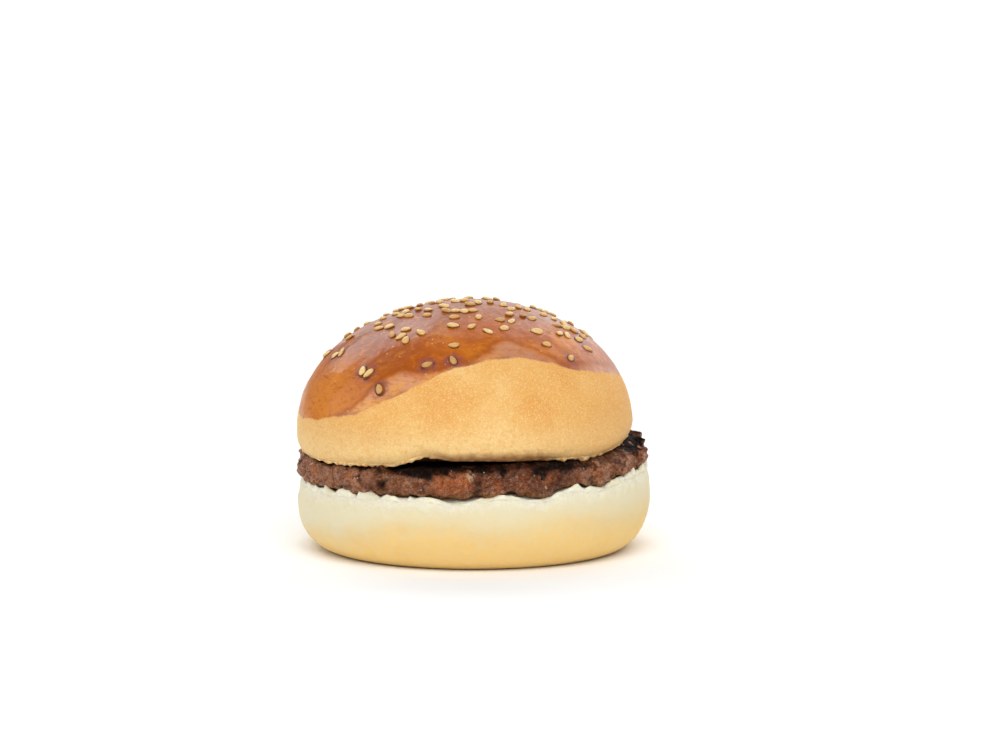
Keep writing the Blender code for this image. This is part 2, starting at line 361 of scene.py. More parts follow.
def ring_body(name: str, outline: Sequence[Point], segments: int) -> Piece:
    """Extrude and scale a circle ring by ring along an outline, and close it with a point at both ends.

    Args:
        name: The object's name.
        outline: (radius, height) points whose first and last radius is 0.
        segments: How many points a ring has.

    Returns:
        The closed body, its faces pointing out.
    """
    rings = outline[1:-1]
    body = primitive(
        bpy.ops.mesh.primitive_circle_add, name, vertices=segments, radius=rings[0][0],
        fill_type="TRIFAN", location=(0.0, 0.0, rings[0][1]),
    )
    bpy.ops.object.transform_apply(location=True, rotation=False, scale=False)
    centre = min(body.data.vertices, key=lambda vert: vert.co.xy.length)
    centre.co.z = outline[0][1]
    for vert in body.data.vertices:
        vert.select = vert.index != centre.index
    for edge in body.data.edges:
        edge.select = centre.index not in edge.vertices
    for face in body.data.polygons:
        face.select = False
    bpy.ops.object.mode_set(mode="EDIT")
    for (radius, height), (next_radius, next_height) in zip(rings, rings[1:]):
        bpy.ops.mesh.extrude_edges_move(TRANSFORM_OT_translate={"value": (0.0, 0.0, next_height - height)})
        ratio = next_radius / radius
        bpy.ops.transform.resize(value=(ratio, ratio, 1.0), center_override=(0.0, 0.0, next_height))
    last = outline[-1][1] - rings[-1][1]
    bpy.ops.mesh.extrude_edges_move(TRANSFORM_OT_translate={"value": (0.0, 0.0, last)})
    bpy.ops.mesh.merge(type="CENTER")
    bpy.ops.object.mode_set(mode="OBJECT")
    return smooth_out(body)


def move_points(body: Piece, rule: Callable[[Vector], Vector]) -> None:
    """Move each point of a mesh to where a rule puts it.

    Args:
        body: The object.
        rule: Gives a point's new place.
    """
    for vert in body.data.vertices:
        vert.co = rule(vert.co.copy())
    body.data.update()


def keep_mark(body: Piece, mark: Mark, values: Sequence[float]) -> None:
    """Keep one number for each point of a mesh, for its finish to read."""
    layer = body.data.attributes.new(mark.value, "FLOAT", "POINT")
    layer.data.foreach_set("value", np.asarray(values, np.float32))


def vertex_group(body: Piece, name: str, weight: Callable[[Vector], float]) -> str:
    """Vertex group whose weights follow a rule; returns its name.

    Args:
        body: The object.
        name: The group's name.
        weight: Gives a point's weight.

    Returns:
        The group's name.
    """
    group = body.vertex_groups.new(name=name)
    for vert in body.data.vertices:
        share = weight(vert.co)
        if share > 0.0:
            group.add([vert.index], share, "REPLACE")
    return name


@dataclass(frozen=True)
class Relief:
    """Cloudy relief of a mesh along its normals: the size of its lumps, its depth and its finer layers."""

    name: str
    size: float
    depth: float
    layers: int = 2

    def lay(self, body: Piece, group: str) -> None:
        """Displace a mesh, and apply the modifier.

        Args:
            body: The object.
            group: The vertex group that limits the relief.
        """
        texture = bpy.data.textures.new(self.name, "CLOUDS")
        texture.noise_scale = self.size
        texture.noise_depth = self.layers
        texture.noise_basis = "BLENDER_ORIGINAL"
        bpy.ops.object.select_all(action="DESELECT")
        body.select_set(True)
        bpy.context.view_layer.objects.active = body
        bump = body.modifiers.new("Relief", "DISPLACE")
        bump.texture = texture
        bump.texture_coords = "LOCAL"
        bump.direction = "NORMAL"
        bump.strength = self.depth
        bump.mid_level = 0.5
        bump.vertex_group = group
        bpy.ops.object.modifier_apply(modifier=bump.name)


def standing(point: Vector, normal: Vector, turn: float, size: float) -> Matrix:
    """Matrix that stands a pattern on a point, its Z along the normal, turned and scaled."""
    flat = normal.to_track_quat("Z", "Y").to_matrix().to_4x4()
    return Matrix.Translation(point) @ flat @ Matrix.Rotation(turn, 4, "Z") @ Matrix.Scale(size, 4)


def scatter(name: str, pattern: Piece, places: Sequence[Matrix], tones: Sequence[float]) -> Piece:
    """Copy a pattern to each place, each copy with its own mesh, and join the copies in one piece.

    Args:
        name: The piece's name.
        pattern: The shape that is copied; it is removed.
        places: Where the copies go.
        tones: One number for each copy, kept on its points.

    Returns:
        The joined piece, at the origin.
    """
    bpy.ops.object.select_all(action="DESELECT")
    copies = []
    for place, tone in zip(places, tones):
        mesh = pattern.data.copy()
        mesh.transform(place)
        copy = bpy.data.objects.new(name, mesh)
        keep_mark(copy, Mark.TONE, np.full(len(mesh.vertices), tone))
        bpy.context.scene.collection.objects.link(copy)
        copy.select_set(True)
        copies.append(copy)
    bpy.context.view_layer.objects.active = copies[0]
    bpy.ops.object.join()
    piece = bpy.context.active_object
    piece.name = name
    bpy.data.objects.remove(pattern)
    bpy.ops.object.shade_smooth()
    return piece


@dataclass(frozen=True)
class Fringe:
    """Torn edge of bread: a thin, ragged wall that stands on a rim all the way round."""

    height: float
    thickness: float
    torn: tuple[Lobe, ...]
    calm: float
    tuft: float = 2.6 * MM
    tooth: float = 0.9 * MM
    fray: float = 0.4 * MM
    taper: float = 0.55
    place: float = 0.0
    steps: int = 1500
    sides: int = 12

    def rise(self, rim: Vector, around: float) -> float:
        """How far the wall stands up at a point of the rim: tufts with finer teeth.

        Args:
            rim: The rim's point.
            around: Its azimuth in degrees.

        Returns:
            The height there.
        """
        wide = noise.noise(rim / self.tuft + Vector((self.place, 0.0, 0.0)))
        fine = noise.noise(rim / self.tooth + Vector((0.0, self.place, 0.0)))
        hair = noise.noise(rim / (0.4 * self.tooth) + Vector((0.0, 0.0, self.place)))
        share = self.calm + lobes(around, self.torn)
        return self.height * share * (0.6 + 0.9 * wide + 0.4 * fine + 0.25 * hair)

    def frayed(self, spot: Vector) -> Vector:
        """A point of the wall, moved by coarse and by fine fraying."""
        spot += self.fray * drift(spot / self.tooth)
        return spot + 0.5 * self.fray * drift(spot / (0.45 * self.tooth))

    def mesh(self, name: str, rim: Callable[[float], Vector], up: float, lean: float) -> Piece:
        """Model the wall from a torus whose tube is pulled up along the rim.

        Args:
            name: The piece's name.
            rim: The rim's point at an azimuth in degrees.
            up: 1 for a wall that stands up, -1 for one that hangs down.
            lean: How far the wall's top leans outwards.

        Returns:
            The closed wall.
        """
        wall = primitive(
            bpy.ops.mesh.primitive_torus_add, name, major_segments=self.steps,
            minor_segments=self.sides, major_radius=1.0, minor_radius=0.5,
        )
        for vert in wall.data.vertices:
            x, y, z = vert.co
            around = azimuth(x, y)
            out = (math.hypot(x, y) - 1.0) * 2.0
            high = z + 0.5
            foot = rim(around)
            way = Vector((x, y, 0.0)).normalized()
            rise = max(self.rise(foot, around), -self.thickness)
            wide = self.thickness * (1.0 - self.taper * high ** 2) * out
            sway = lean * max(rise, 0.0) / self.height * high
            spot = foot + way * (wide + sway)
            spot.z += up * ((self.thickness + rise) * high - self.thickness)
            vert.co = self.frayed(spot)
        wall.data.update()
        return smooth_out(wall)


class Sheet:
    """A material's node sheet, with one method for each kind of node that the finishes use.

    Sizes of patterns and depths of relief are given in millimetres.
    """

    def __init__(self, name: str) -> None:
        """Start a material that has only its output and its Principled shader.

        Args:
            name: The material's name.
        """
        self.material = bpy.data.materials.new(name)
        self.material.use_nodes = True
        self.tree = self.material.node_tree
        self.shader = self.tree.nodes["Principled BSDF"]
        self.place = self.add("ShaderNodeTexCoord").outputs["Object"]

    def add(self, kind: str) -> bpy.types.Node:
        """Add a node."""
        return self.tree.nodes.new(kind)

    def feed(self, socket: Socket, value: object) -> None:
        """Link a socket to another, or set its own value.

        Args:
            socket: The input.
            value: An output, a number, a vector or a colour.
        """
        if isinstance(value, Socket):
            self.tree.links.new(value, socket)
        elif isinstance(value, tuple) and len(value) == 3 and socket.type == "RGBA":
            socket.default_value = (*value, 1.0)
        else:
            socket.default_value = value

    def set(self, name: str, value: object) -> None:
        """Set or link an input of the shader."""
        self.feed(self.shader.inputs[name], value)

    def mark(self, mark: Mark) -> Socket:
        """A number that the mesh's points carry.

        Args:
            mark: Which number.

        Returns:
            The number.
        """
        node = self.add("ShaderNodeAttribute")
        node.attribute_name = mark.value
        return node.outputs["Fac"]

    def axis(self, name: str) -> Socket:
        """X, Y or Z of the object coordinates.

        Args:
            name: Which axis.

        Returns:
            The coordinate.
        """
        node = self.add("ShaderNodeSeparateXYZ")
        self.feed(node.inputs[0], self.place)
        return node.outputs[name]

    def across(self, low: float, high: float, to_low: float, to_high: float) -> Socket:
        """Even curve from one value to another between two places across the stack."""
        return self.span(self.axis("X"), low * MM, high * MM, to_low, to_high)

    def hill(self, rise: float, top: float, fall: float, end: float) -> Socket:
        """1 between two places across the stack, and an even slope down to 0 on both sides."""
        return self.times(self.across(rise, top, 0.0, 1.0), self.across(fall, end, 1.0, 0.0))

    def stretch(self, scale: tuple[float, float, float]) -> Socket:
        """Object coordinates scaled along each axis.

        Args:
            scale: The factor along each axis.

        Returns:
            The coordinates.
        """
        node = self.add("ShaderNodeMapping")
        self.feed(node.inputs["Vector"], self.place)
        node.inputs["Scale"].default_value = scale
        return node.outputs["Vector"]

    def noise(self, size: float, detail: float = 2.0, rough: float = 0.5, place: object = None,
              warp: float = 0.0) -> Socket:
        """Noise from 0 to 1.

        Args:
            size: How large its lumps are.
            detail: How many finer layers it has.
            rough: How strong the finer layers are.
            place: The coordinates that it reads, if not the object's own.
            warp: How far it is distorted.

        Returns:
            The noise.
        """
        node = self.add("ShaderNodeTexNoise")
        self.feed(node.inputs["Vector"], place or self.place)
        node.inputs["Scale"].default_value = 1.0 / (size * MM)
        node.inputs["Detail"].default_value = detail
        node.inputs["Roughness"].default_value = rough
        node.inputs["Distortion"].default_value = warp
        return node.outputs["Fac"]

    def sway(self, reach: float, size: float, detail: float = 2.0, rough: float = 0.5,
             warp: float = 0.0) -> Socket:
        """Noise about 0, from minus to plus half a reach."""
        return self.times(self.math("SUBTRACT", self.noise(size, detail, rough, warp=warp), 0.5), reach)

    def cells(self, size: float) -> Socket:
        """Distance from the middle of Voronoi cells of a size.

        Args:
            size: How large the cells are.

        Returns:
            The distance.
        """
        node = self.add("ShaderNodeTexVoronoi")
        self.feed(node.inputs["Vector"], self.place)
        node.inputs["Scale"].default_value = 1.0 / (size * MM)
        return node.outputs["Distance"]

    def math(self, operation: str, first: object, second: object = 0.0) -> Socket:
        """One arithmetic step.

        Args:
            operation: The Math node's own word for it.
            first: The first number.
            second: The second number.

        Returns:
            The outcome.
        """
        node = self.add("ShaderNodeMath")
        node.operation = operation
        self.feed(node.inputs[0], first)
        self.feed(node.inputs[1], second)
        return node.outputs[0]

    def times(self, first: object, second: object) -> Socket:
        """Product of two numbers."""
        return self.math("MULTIPLY", first, second)

    def plus(self, first: object, second: object) -> Socket:
        """Sum of two numbers."""
        return self.math("ADD", first, second)

    def span(self, value: object, low: float, high: float, to_low: float = 0.0,
             to_high: float = 1.0) -> Socket:
        """Even curve from one value to another while the input goes from low to high.

        Args:
            value: The input.
            low: The input at which the curve starts.
            high: The input at which it ends.
            to_low: The value at its start.
            to_high: The value at its end.

        Returns:
            The curve's value.
        """
        node = self.add("ShaderNodeMapRange")
        node.interpolation_type = "SMOOTHSTEP"
        for name, number in (
            ("Value", value), ("From Min", low), ("From Max", high), ("To Min", to_low), ("To Max", to_high)
        ):
            self.feed(node.inputs[name], number)
        return node.outputs["Result"]

    def mix(self, share: object, first: object, second: object) -> Socket:
        """Mix of two colours.

        Args:
            share: How much of the second colour there is, from 0 to 1.
            first: The first colour.
            second: The second colour.

        Returns:
            The mixed colour.
        """
        node = self.add("ShaderNodeMix")
        node.data_type = "RGBA"
        self.feed(node.inputs["Factor"], share)
        self.feed(node.inputs[6], first)
        self.feed(node.inputs[7], second)
        return node.outputs[2]

    def tint(self, colour: object, *layers: tuple) -> Socket:
        """Mix further colours into a colour, one after another.

        Args:
            colour: The first colour.
            layers: Each further colour, and what span is told to work out its share.

        Returns:
            The mixed colour.
        """
        for other, *share in layers:
            colour = self.mix(self.span(*share), colour, other)
        return colour

    def ramp(self, value: object, stops: Sequence[tuple[float, Colour]]) -> Socket:
        """Colour ramp.

        Args:
            value: Where on the ramp the colour is read, from 0 to 1.
            stops: The ramp's places and their colours.

        Returns:
            The colour.
        """
        node = self.add("ShaderNodeValToRGB")
        elements = node.color_ramp.elements
        while len(elements) < len(stops):
            elements.new(0.5)
        for element, (position, colour) in zip(elements, stops):
            element.position = position
            element.color = (*colour, 1.0)
        self.feed(node.inputs["Fac"], value)
        return node.outputs["Color"]

    def bump(self, height: object, depth: float, under: object = None) -> Socket:
        """Relief in the shading.

        Args:
            height: A height field from 0 to 1.
            depth: How far its 1 lies above its 0.
            under: The normal that it is laid over, if not the mesh's own.

        Returns:
            The normal.
        """
        node = self.add("ShaderNodeBump")
        node.inputs["Strength"].default_value = 1.0
        node.inputs["Distance"].default_value = depth * MM
        self.feed(node.inputs["Height"], height)
        if under is not None:
            self.feed(node.inputs["Normal"], under)
        return node.outputs["Normal"]


@dataclass(frozen=True)
class Finish:
    """What every finish has: how rough and shiny it is, and how far light goes into it, in millimetres."""

    name: ClassVar[str] = "plain"
    roughness: float = 0.8
    specular: float = 0.2
    glow: float = 0.0
    glow_colour: Colour = (1.0, 0.5, 0.3)
    glow_depth: float = 1.0

    def make(self) -> bpy.types.Material:
        """Make the material.

        Returns:
            The material, with its plain values set and the rest painted.
        """
        s = Sheet(self.name)
        s.set("Roughness", self.roughness)
        s.set("Specular IOR Level", self.specular)
        if self.glow:
            s.set("Subsurface Weight", self.glow)
            s.set("Subsurface Radius", self.glow_colour)
            s.set("Subsurface Scale", self.glow_depth * MM)
        self.paint(s)
        return s.material

    def paint(self, s: Sheet) -> None:
        """Set on the sheet what isn't the same all over."""
        raise NotImplementedError


@dataclass(frozen=True)
class CrownCrust(Finish):
    """Crust of the crown: a matt golden band below, and egg glaze over the rest."""

    name: ClassVar[str] = "crown_crust"
    glow: float = 0.1
    glow_colour: Colour = (1.0, 0.4, 0.15)
    glow_depth: float = 1.2
    band_roughness: float = 0.65
    band_specular: float = 0.25
    glaze_roughness: float = 0.5
    glaze_specular: float = 0.08
    coat: float = 0.46
    coat_roughness: Range = (0.15, 0.27)
    gold: Colour = srgb(229, 174, 96)
    pale_gold: Colour = srgb(237, 202, 137)
    warm_gold: Colour = srgb(222, 156, 74)
    toast: Colour = srgb(146, 88, 42)
    fleck: Colour = srgb(250, 226, 172)
    amber: Colour = srgb(206, 121, 16)
    tawny: Colour = srgb(174, 86, 4)
    chestnut: Colour = srgb(152, 69, 2)
    umber: Colour = srgb(128, 58, 14)
    thin: Colour = srgb(224, 160, 88)
    rose_and_sheen: Colour = srgb(212, 150, 108)
    pink_and_sheen: Colour = srgb(184, 126, 96)
    plum: Colour = srgb(126, 68, 76)

    def paint(self, s: Sheet) -> None:
        """Set on the sheet what isn't the same all over.

        Args:
            s: The material's sheet.
        """
        ragged = s.plus(s.sway(2.6, 6.0, 3.0, 0.6), s.sway(0.6, 1.4, 3.0, 0.6))
        above = s.plus(s.mark(Mark.GLAZE), ragged)
        thick = s.plus(s.mark(Mark.THICK), s.times(ragged, 1.8))
        glazed = s.span(above, -0.4, 0.5)
        s.set("Base Color", s.mix(glazed, self.bare(s), self.glaze(s, above, thick)))
        s.set("Roughness", s.span(glazed, 0.0, 1.0, self.band_roughness, self.glaze_roughness))
        s.set("Specular IOR Level", s.span(glazed, 0.0, 1.0, self.band_specular, self.glaze_specular))
        s.set("Coat Weight", s.times(glazed, self.coat))
        s.set("Coat Roughness", s.span(s.noise(7.0, 3.0, 0.6), 0.35, 0.65, *self.coat_roughness))
        s.set("Normal", self.surface(s, glazed))

    def bare(self, s: Sheet) -> Socket:
        """Colour of the band without glaze: gold, paler towards the cut, with fine flecks, and painted shade
        along the lower edge over the dark gap.

        Args:
            s: The material's sheet.

        Returns:
            The colour.
        """
        tone = s.noise(15.0, 3.0, 0.55)
        gold = s.ramp(tone, ((0.3, self.warm_gold), (0.52, self.gold), (0.85, self.pale_gold)))
        gold = s.tint(gold, (self.pale_gold, s.mark(Mark.RIM), 2.0, 14.0, 0.8, 0.0))
        gold = s.mix(s.across(2.0, 48.0, 0.0, 0.55), gold, self.warm_gold)
        gold = s.tint(
            gold,
            (self.warm_gold, s.noise(1.3, 3.0, 0.65), 0.45, 0.68, 0.0, 0.42),
            (self.fleck, s.noise(0.42, 2.0, 0.6), 0.48, 0.68, 0.0, 0.42),
        )
        # Painted shade: the toast colour darkens the lower edge over the dark gap under the crown.
        rim = s.span(s.plus(s.mark(Mark.RIM), s.sway(3.0, 3.0, 3.0, 0.6)), -0.3, 3.0, 0.9, 0.0)
        return s.mix(s.times(rim, s.hill(*PAINTED_RIM_SHADE)), gold, self.toast)

    def glaze(self, s: Sheet, above: Socket, thick: Socket) -> Socket:
        """Colour of the glaze: amber to chestnut where thick, thin and pinkish in a zone at its edge, the
        pinkish tint partly painted sheen.

        Args:
            s: The material's sheet.
            above: How far a place lies above the glaze's edge, in millimetres.
            thick: How far it lies above the edge of the thick glaze.

        Returns:
            The colour.
        """
        pool = s.noise(16.0, 3.0, 0.5)
        colour = s.ramp(pool, ((0.32, self.amber), (0.5, self.tawny), (0.7, self.chestnut)))
        colour = s.tint(colour, (self.umber, above, 12.0, 28.0, 0.0, 0.8))
        left = s.times(s.across(-44.0, -16.0, 0.85, 0.0), s.span(above, 4.0, 30.0, 1.0, 0.0))
        colour = s.mix(left, colour, self.amber)
        colour = s.tint(colour, (self.amber, s.noise(2.6, 4.0, 0.65, warp=0.8), 0.46, 0.7, 0.0, 0.6))
        brush = s.noise(2.2, 4.0, 0.65, s.stretch((1.0, 1.0, 2.6)), 0.5)
        colour = s.tint(
            colour,
            (self.chestnut, brush, 0.5, 0.68, 0.0, 0.6),
            (self.chestnut, s.noise(1.2, 3.0, 0.6), 0.5, 0.7, 0.0, 0.2),
        )
        line = s.math("ABSOLUTE", s.math("SUBTRACT", thick, 1.2))
        colour = s.tint(
            colour,
            (self.chestnut, line, 0.0, 2.2, 0.55, 0.0),
            (self.wash(s), thick, -2.6, 1.4, 0.9, 0.0),
        )
        rim = s.span(s.noise(6.0, 2.0), 0.5, 0.64, 0.0, 0.45)
        colour = s.mix(s.times(s.span(above, 0.0, 1.8, 1.0, 0.0), rim), colour, self.plum)
        halo = s.span(s.mark(Mark.SEED), 0.4, 2.6, 0.8, 0.0)
        colour = s.mix(s.times(halo, s.span(s.noise(1.6), 0.3, 0.62)), colour, self.plum)
        blister = s.span(s.cells(2.6), 0.06, 0.14, 0.75, 0.0)
        some = s.span(s.noise(5.0, 1.0), 0.5, 0.56)
        return s.mix(s.times(blister, some), colour, self.gold)

    def wash(self, s: Sheet) -> Socket:
        """Colour of the thin glaze: pale amber to rosy, pinker at the right, with brush strokes; the rosy
        and pinker tints are partly the glaze's own and partly painted sheen.

        Args:
            s: The material's sheet.

        Returns:
            The colour.
        """
        # The rosy and pinkish tints are partly painted sheen, standing in for the reflection of a soft box.
        wash = s.mix(s.span(s.noise(5.0, 3.0, 0.6, warp=0.4), 0.4, 0.62), self.thin, self.rose_and_sheen)
        wash = s.mix(s.across(-4.0, 14.0, 0.0, 0.9), wash, self.pink_and_sheen)
        sweep = s.noise(2.4, 4.0, 0.6, s.stretch((1.0, 1.0, 2.8)), 0.7)
        return s.tint(wash, (self.tawny, sweep, 0.48, 0.68, 0.0, 0.5))

    def surface(self, s: Sheet, glazed: Socket) -> Socket:
        """Fine skin: pores where bare, and shallow brushed waves under the glaze.

        Args:
            s: The material's sheet.
            glazed: 1 on the glaze and 0 on the band.

        Returns:
            The normal.
        """
        waves = s.noise(5.0, 3.0, 0.5, s.stretch((1.0, 1.0, 2.2)))
        wrinkles = s.noise(2.2, 2.0, 0.5, s.stretch((1.0, 1.0, 1.8)), 0.6)
        normal = s.bump(wrinkles, 0.1, s.bump(waves, 0.5))
        pores = s.times(s.noise(0.7, 3.0, 0.6), s.span(glazed, 0.0, 1.0, 1.0, 0.3))
        return s.bump(pores, 0.16, normal)


@dataclass(frozen=True)
class HeelCrust(Finish):
    """Crust of the heel: torn crumb at the cut, cream below it, turning gold towards the foot."""

    name: ClassVar[str] = "heel_crust"
    roughness: float = 0.72
    specular: float = 0.25
    glow: float = 0.2
    glow_colour: Colour = (1.0, 0.65, 0.35)
    glow_depth: float = 1.8
    white: Colour = srgb(241, 234, 209)
    cream: Colour = srgb(227, 217, 183)
    straw: Colour = srgb(232, 207, 151)
    gold: Colour = srgb(244, 207, 133)
    toast: Colour = srgb(238, 192, 112)

    def paint(self, s: Sheet) -> None:
        """Set on the sheet what isn't the same all over.

        Args:
            s: The material's sheet.
        """
        left = s.across(-50.0, -12.0, -8.5 * MM, 0.0)
        height = s.plus(s.plus(s.axis("Z"), s.sway(10.0 * MM, 16.0, 3.0, 0.55)), s.times(left, -1.0))
        golden = s.span(height, 6.5 * MM, 19.5 * MM, 1.0, 0.0)
        colour = s.ramp(golden, ((0.0, self.cream), (0.5, self.straw), (1.0, self.gold)))
        colour = s.tint(colour, (self.toast, s.axis("Z"), 0.0, 4.0 * MM, 0.4, 0.0))
        blush = s.span(s.noise(10.0, 2.0, 0.5), 0.5, 0.7, 0.0, 0.4)
        colour = s.mix(s.times(blush, golden), colour, self.toast)
        colour = s.tint(colour, (self.cream, s.noise(1.6, 3.0, 0.6), 0.45, 0.75, 0.0, 0.25))
        torn = s.span(s.plus(s.mark(Mark.RIM), s.sway(6.0, 3.0, 4.0, 0.65)), 0.6, 4.6, 1.0, 0.0)
        s.set("Base Color", s.mix(torn, colour, self.white))
        skin = s.bump(s.noise(0.8, 3.0, 0.6), 0.12, s.bump(s.noise(6.0, 2.0, 0.5), 0.25))
        crumb = s.times(s.noise(1.1, 4.0, 0.7, warp=0.6), torn)
        s.set("Normal", s.bump(crumb, 0.6, skin))


@dataclass(frozen=True)
class Crumb(Finish):
    """Torn white crumb along the heel's cut."""

    name: ClassVar[str] = "crumb"
    roughness: float = 0.9
    specular: float = 0.15
    glow: float = 0.35
    glow_colour: Colour = (1.0, 0.8, 0.55)
    glow_depth: float = 1.5
    white: Colour = srgb(245, 239, 216)
    cream: Colour = srgb(236, 225, 191)

    def paint(self, s: Sheet) -> None:
        """Set on the sheet what isn't the same all over."""
        s.set("Base Color", s.ramp(s.noise(2.2, 3.0, 0.6), ((0.35, self.cream), (0.55, self.white))))
        s.set("Normal", s.bump(s.noise(0.7, 3.0, 0.7), 0.3))


@dataclass(frozen=True)
class TornCrust(Finish):
    """Torn edge of the crown's crust, darkened by painted shade where it hangs over the dark gap."""

    name: ClassVar[str] = "torn_crust"
    cream: Colour = srgb(240, 208, 148)
    gold: Colour = srgb(218, 160, 92)
    toast: Colour = srgb(118, 74, 40)

    def paint(self, s: Sheet) -> None:
        """Set on the sheet what isn't the same all over.

        Args:
            s: The material's sheet.
        """
        colour = s.ramp(s.noise(1.6, 3.0, 0.6), ((0.38, self.gold), (0.6, self.cream)))
        # Painted shade: the toast colour darkens the torn edge over the dark gap.
        s.set("Base Color", s.mix(s.times(s.hill(*PAINTED_RIM_SHADE), 0.85), colour, self.toast))
        s.set("Normal", s.bump(s.noise(0.6, 3.0, 0.7), 0.2))


@dataclass(frozen=True)
class ToastedShadedCut(Finish):
    """Cut face of the crown, toasted brown and darkened as painted shade of the dark gap over the patty."""

    name: ClassVar[str] = "toasted_shaded_cut"
    roughness: float = 0.85
    specular: float = 0.15
    brown: Colour = srgb(120, 72, 38)
    dark: Colour = srgb(58, 34, 22)

    def paint(self, s: Sheet) -> None:
        """Set on the sheet what isn't the same all over."""
        # Painted shade: the dark cut face makes the gap under the crown read as shadow.
        s.set("Base Color", s.ramp(s.noise(3.0, 4.0, 0.65), ((0.35, self.dark), (0.65, self.brown))))
        s.set("Normal", s.bump(s.cells(1.2), 0.4))


@dataclass(frozen=True)
class GrilledBeef(Finish):
    """Minced beef browned on a grill: mauve and reddish browns, burnt spots, flecks of fat, and painted
    shade under the crown and in the crevices.
    """

    name: ClassVar[str] = "grilled_beef"
    glow: float = 0.08
    glow_colour: Colour = (1.0, 0.25, 0.12)
    dark: Colour = srgb(58, 32, 22)
    brown: Colour = srgb(146, 88, 54)
    mauve: Colour = srgb(168, 114, 82)
    umber: Colour = srgb(114, 58, 30)
    liver: Colour = srgb(100, 46, 20)
    russet: Colour = srgb(184, 96, 38)
    tan: Colour = srgb(204, 150, 104)
    juice: Colour = srgb(150, 98, 46)
    shade: Colour = srgb(54, 25, 11)
    char: Colour = srgb(17, 10, 7)
    fat: Colour = srgb(226, 200, 170)
    suet: Colour = srgb(206, 182, 138)

    def paint(self, s: Sheet) -> None:
        """Set on the sheet what isn't the same all over.

        Args:
            s: The material's sheet.
        """
        grain = s.noise(0.9, 4.0, 0.7, warp=0.6)
        fibre = s.noise(0.42, 3.0, 0.65, s.stretch((1.0, 1.0, 1.6)), 1.0)
        # Painted shade with char: a dark gradient along the top edge, under the crown.
        shaded = s.span(s.plus(s.mark(Mark.CHAR), s.sway(1.6, 1.8, 4.0, 0.65, 0.6)), 0.15, 1.4, 0.0, 0.84)
        colour = self.shade_and_char(s, self.meat(s, grain, fibre), shaded)
        s.set("Base Color", self.fatty(s, colour))
        moist = s.span(s.noise(1.2, 3.0), 0.4, 0.66, 0.62, 0.2)
        s.set("Roughness", s.math("MAXIMUM", moist, s.times(shaded, 0.8)))
        clean = s.math("SUBTRACT", 1.0, shaded)
        s.set("Specular IOR Level", s.times(s.span(moist, 0.2, 0.6, 0.65, 0.16), clean))
        s.set("Normal", s.bump(fibre, 0.16, s.bump(grain, 0.4)))

    def meat(self, s: Sheet, grain: Socket, fibre: Socket) -> Socket:
        """Colour of the browned mince, with painted shade in its crevices and redder in the middle.

        Args:
            s: The material's sheet.
            grain: The pattern of its grains.
            fibre: The pattern of its fibres.

        Returns:
            The colour.
        """
        tone = s.plus(s.mark(Mark.LUMP), s.sway(1.3, 4.5, 4.0, 0.65, 0.6))
        stops = ((0.15, self.umber), (0.36, self.brown), (0.6, self.mauve), (0.85, self.brown))
        colour = s.ramp(tone, stops)
        colour = s.mix(s.times(s.hill(*RED_MIDDLE), 0.85), colour, self.liver)
        warm = s.plus(s.mark(Mark.WARM), s.sway(1.6, 3.0, 4.0, 0.65, 0.8))
        colour = s.tint(colour, (self.russet, warm, 0.2, 0.9, 0.0, 0.85))
        colour = s.mix(s.times(s.mark(Mark.FOOT), 0.75), colour, self.juice)
        return s.tint(
            colour,
            (self.dark, grain, 0.34, 0.52, 0.75, 0.0),
            (self.tan, grain, 0.54, 0.7, 0.0, 0.5),
            (self.dark, fibre, 0.34, 0.5, 0.6, 0.0),
            (self.tan, fibre, 0.55, 0.7, 0.0, 0.6),
            # Painted shade in the crevices of the mince.
            (self.dark, s.mark(Mark.HOLLOW), 0.15, 0.9, 0.0, 0.8),
        )

    def shade_and_char(self, s: Sheet, colour: Socket, shaded: Socket) -> Socket:
        """Darken the meat with char and with painted shade under the crown, and burn it in patches.

        Args:
            s: The material's sheet.
            colour: The meat's colour.
            shaded: How dark the char and the painted shade make it.

        Returns:
            The colour.
        """
        colour = s.mix(shaded, colour, self.shade)
        patch = s.plus(s.noise(4.0, 4.0, 0.65, warp=0.6), s.times(s.mark(Mark.CHAR), 0.18))
        return s.tint(colour, (self.char, patch, 0.6, 0.8, 0.0, 0.95))

    def fatty(self, s: Sheet, colour: Socket) -> Socket:
        """Put flecks and a few crumbs of fat on the meat.

        Args:
            s: The material's sheet.
            colour: The meat's colour.

        Returns:
            The colour.
        """
        fleck = s.span(s.cells(1.5), 0.06, 0.16, 0.75, 0.0)
        some = s.span(s.noise(3.0, 2.0), 0.54, 0.6)
        colour = s.mix(s.times(fleck, some), colour, self.fat)
        bit = s.plus(s.mark(Mark.FAT), s.sway(2.4, 0.7, 3.0, 0.6, 0.6))
        return s.tint(colour, (self.suet, bit, 0.5, 0.85, 0.0, 0.62))


@dataclass(frozen=True)
class SeedSkin(Finish):
    """Skin of a toasted sesame seed; each seed has its own tone."""

    name: ClassVar[str] = "sesame_skin"
    roughness: float = 0.42
    specular: float = 0.5
    glow: float = 0.12
    glow_colour: Colour = (1.0, 0.6, 0.3)
    glow_depth: float = 0.6
    pale: Colour = srgb(234, 202, 136)
    tan: Colour = srgb(214, 168, 94)
    brown: Colour = srgb(170, 118, 60)

    def paint(self, s: Sheet) -> None:
        """Set on the sheet what isn't the same all over.

        Args:
            s: The material's sheet.
        """
        colour = s.ramp(s.mark(Mark.TONE), ((0.0, self.brown), (0.45, self.tan), (1.0, self.pale)))
        s.set("Base Color", s.tint(colour, (self.brown, s.noise(0.7, 2.0, 0.6), 0.5, 0.75, 0.0, 0.5)))
        s.set("Normal", s.bump(s.noise(0.5, 2.0, 0.6), 0.06))


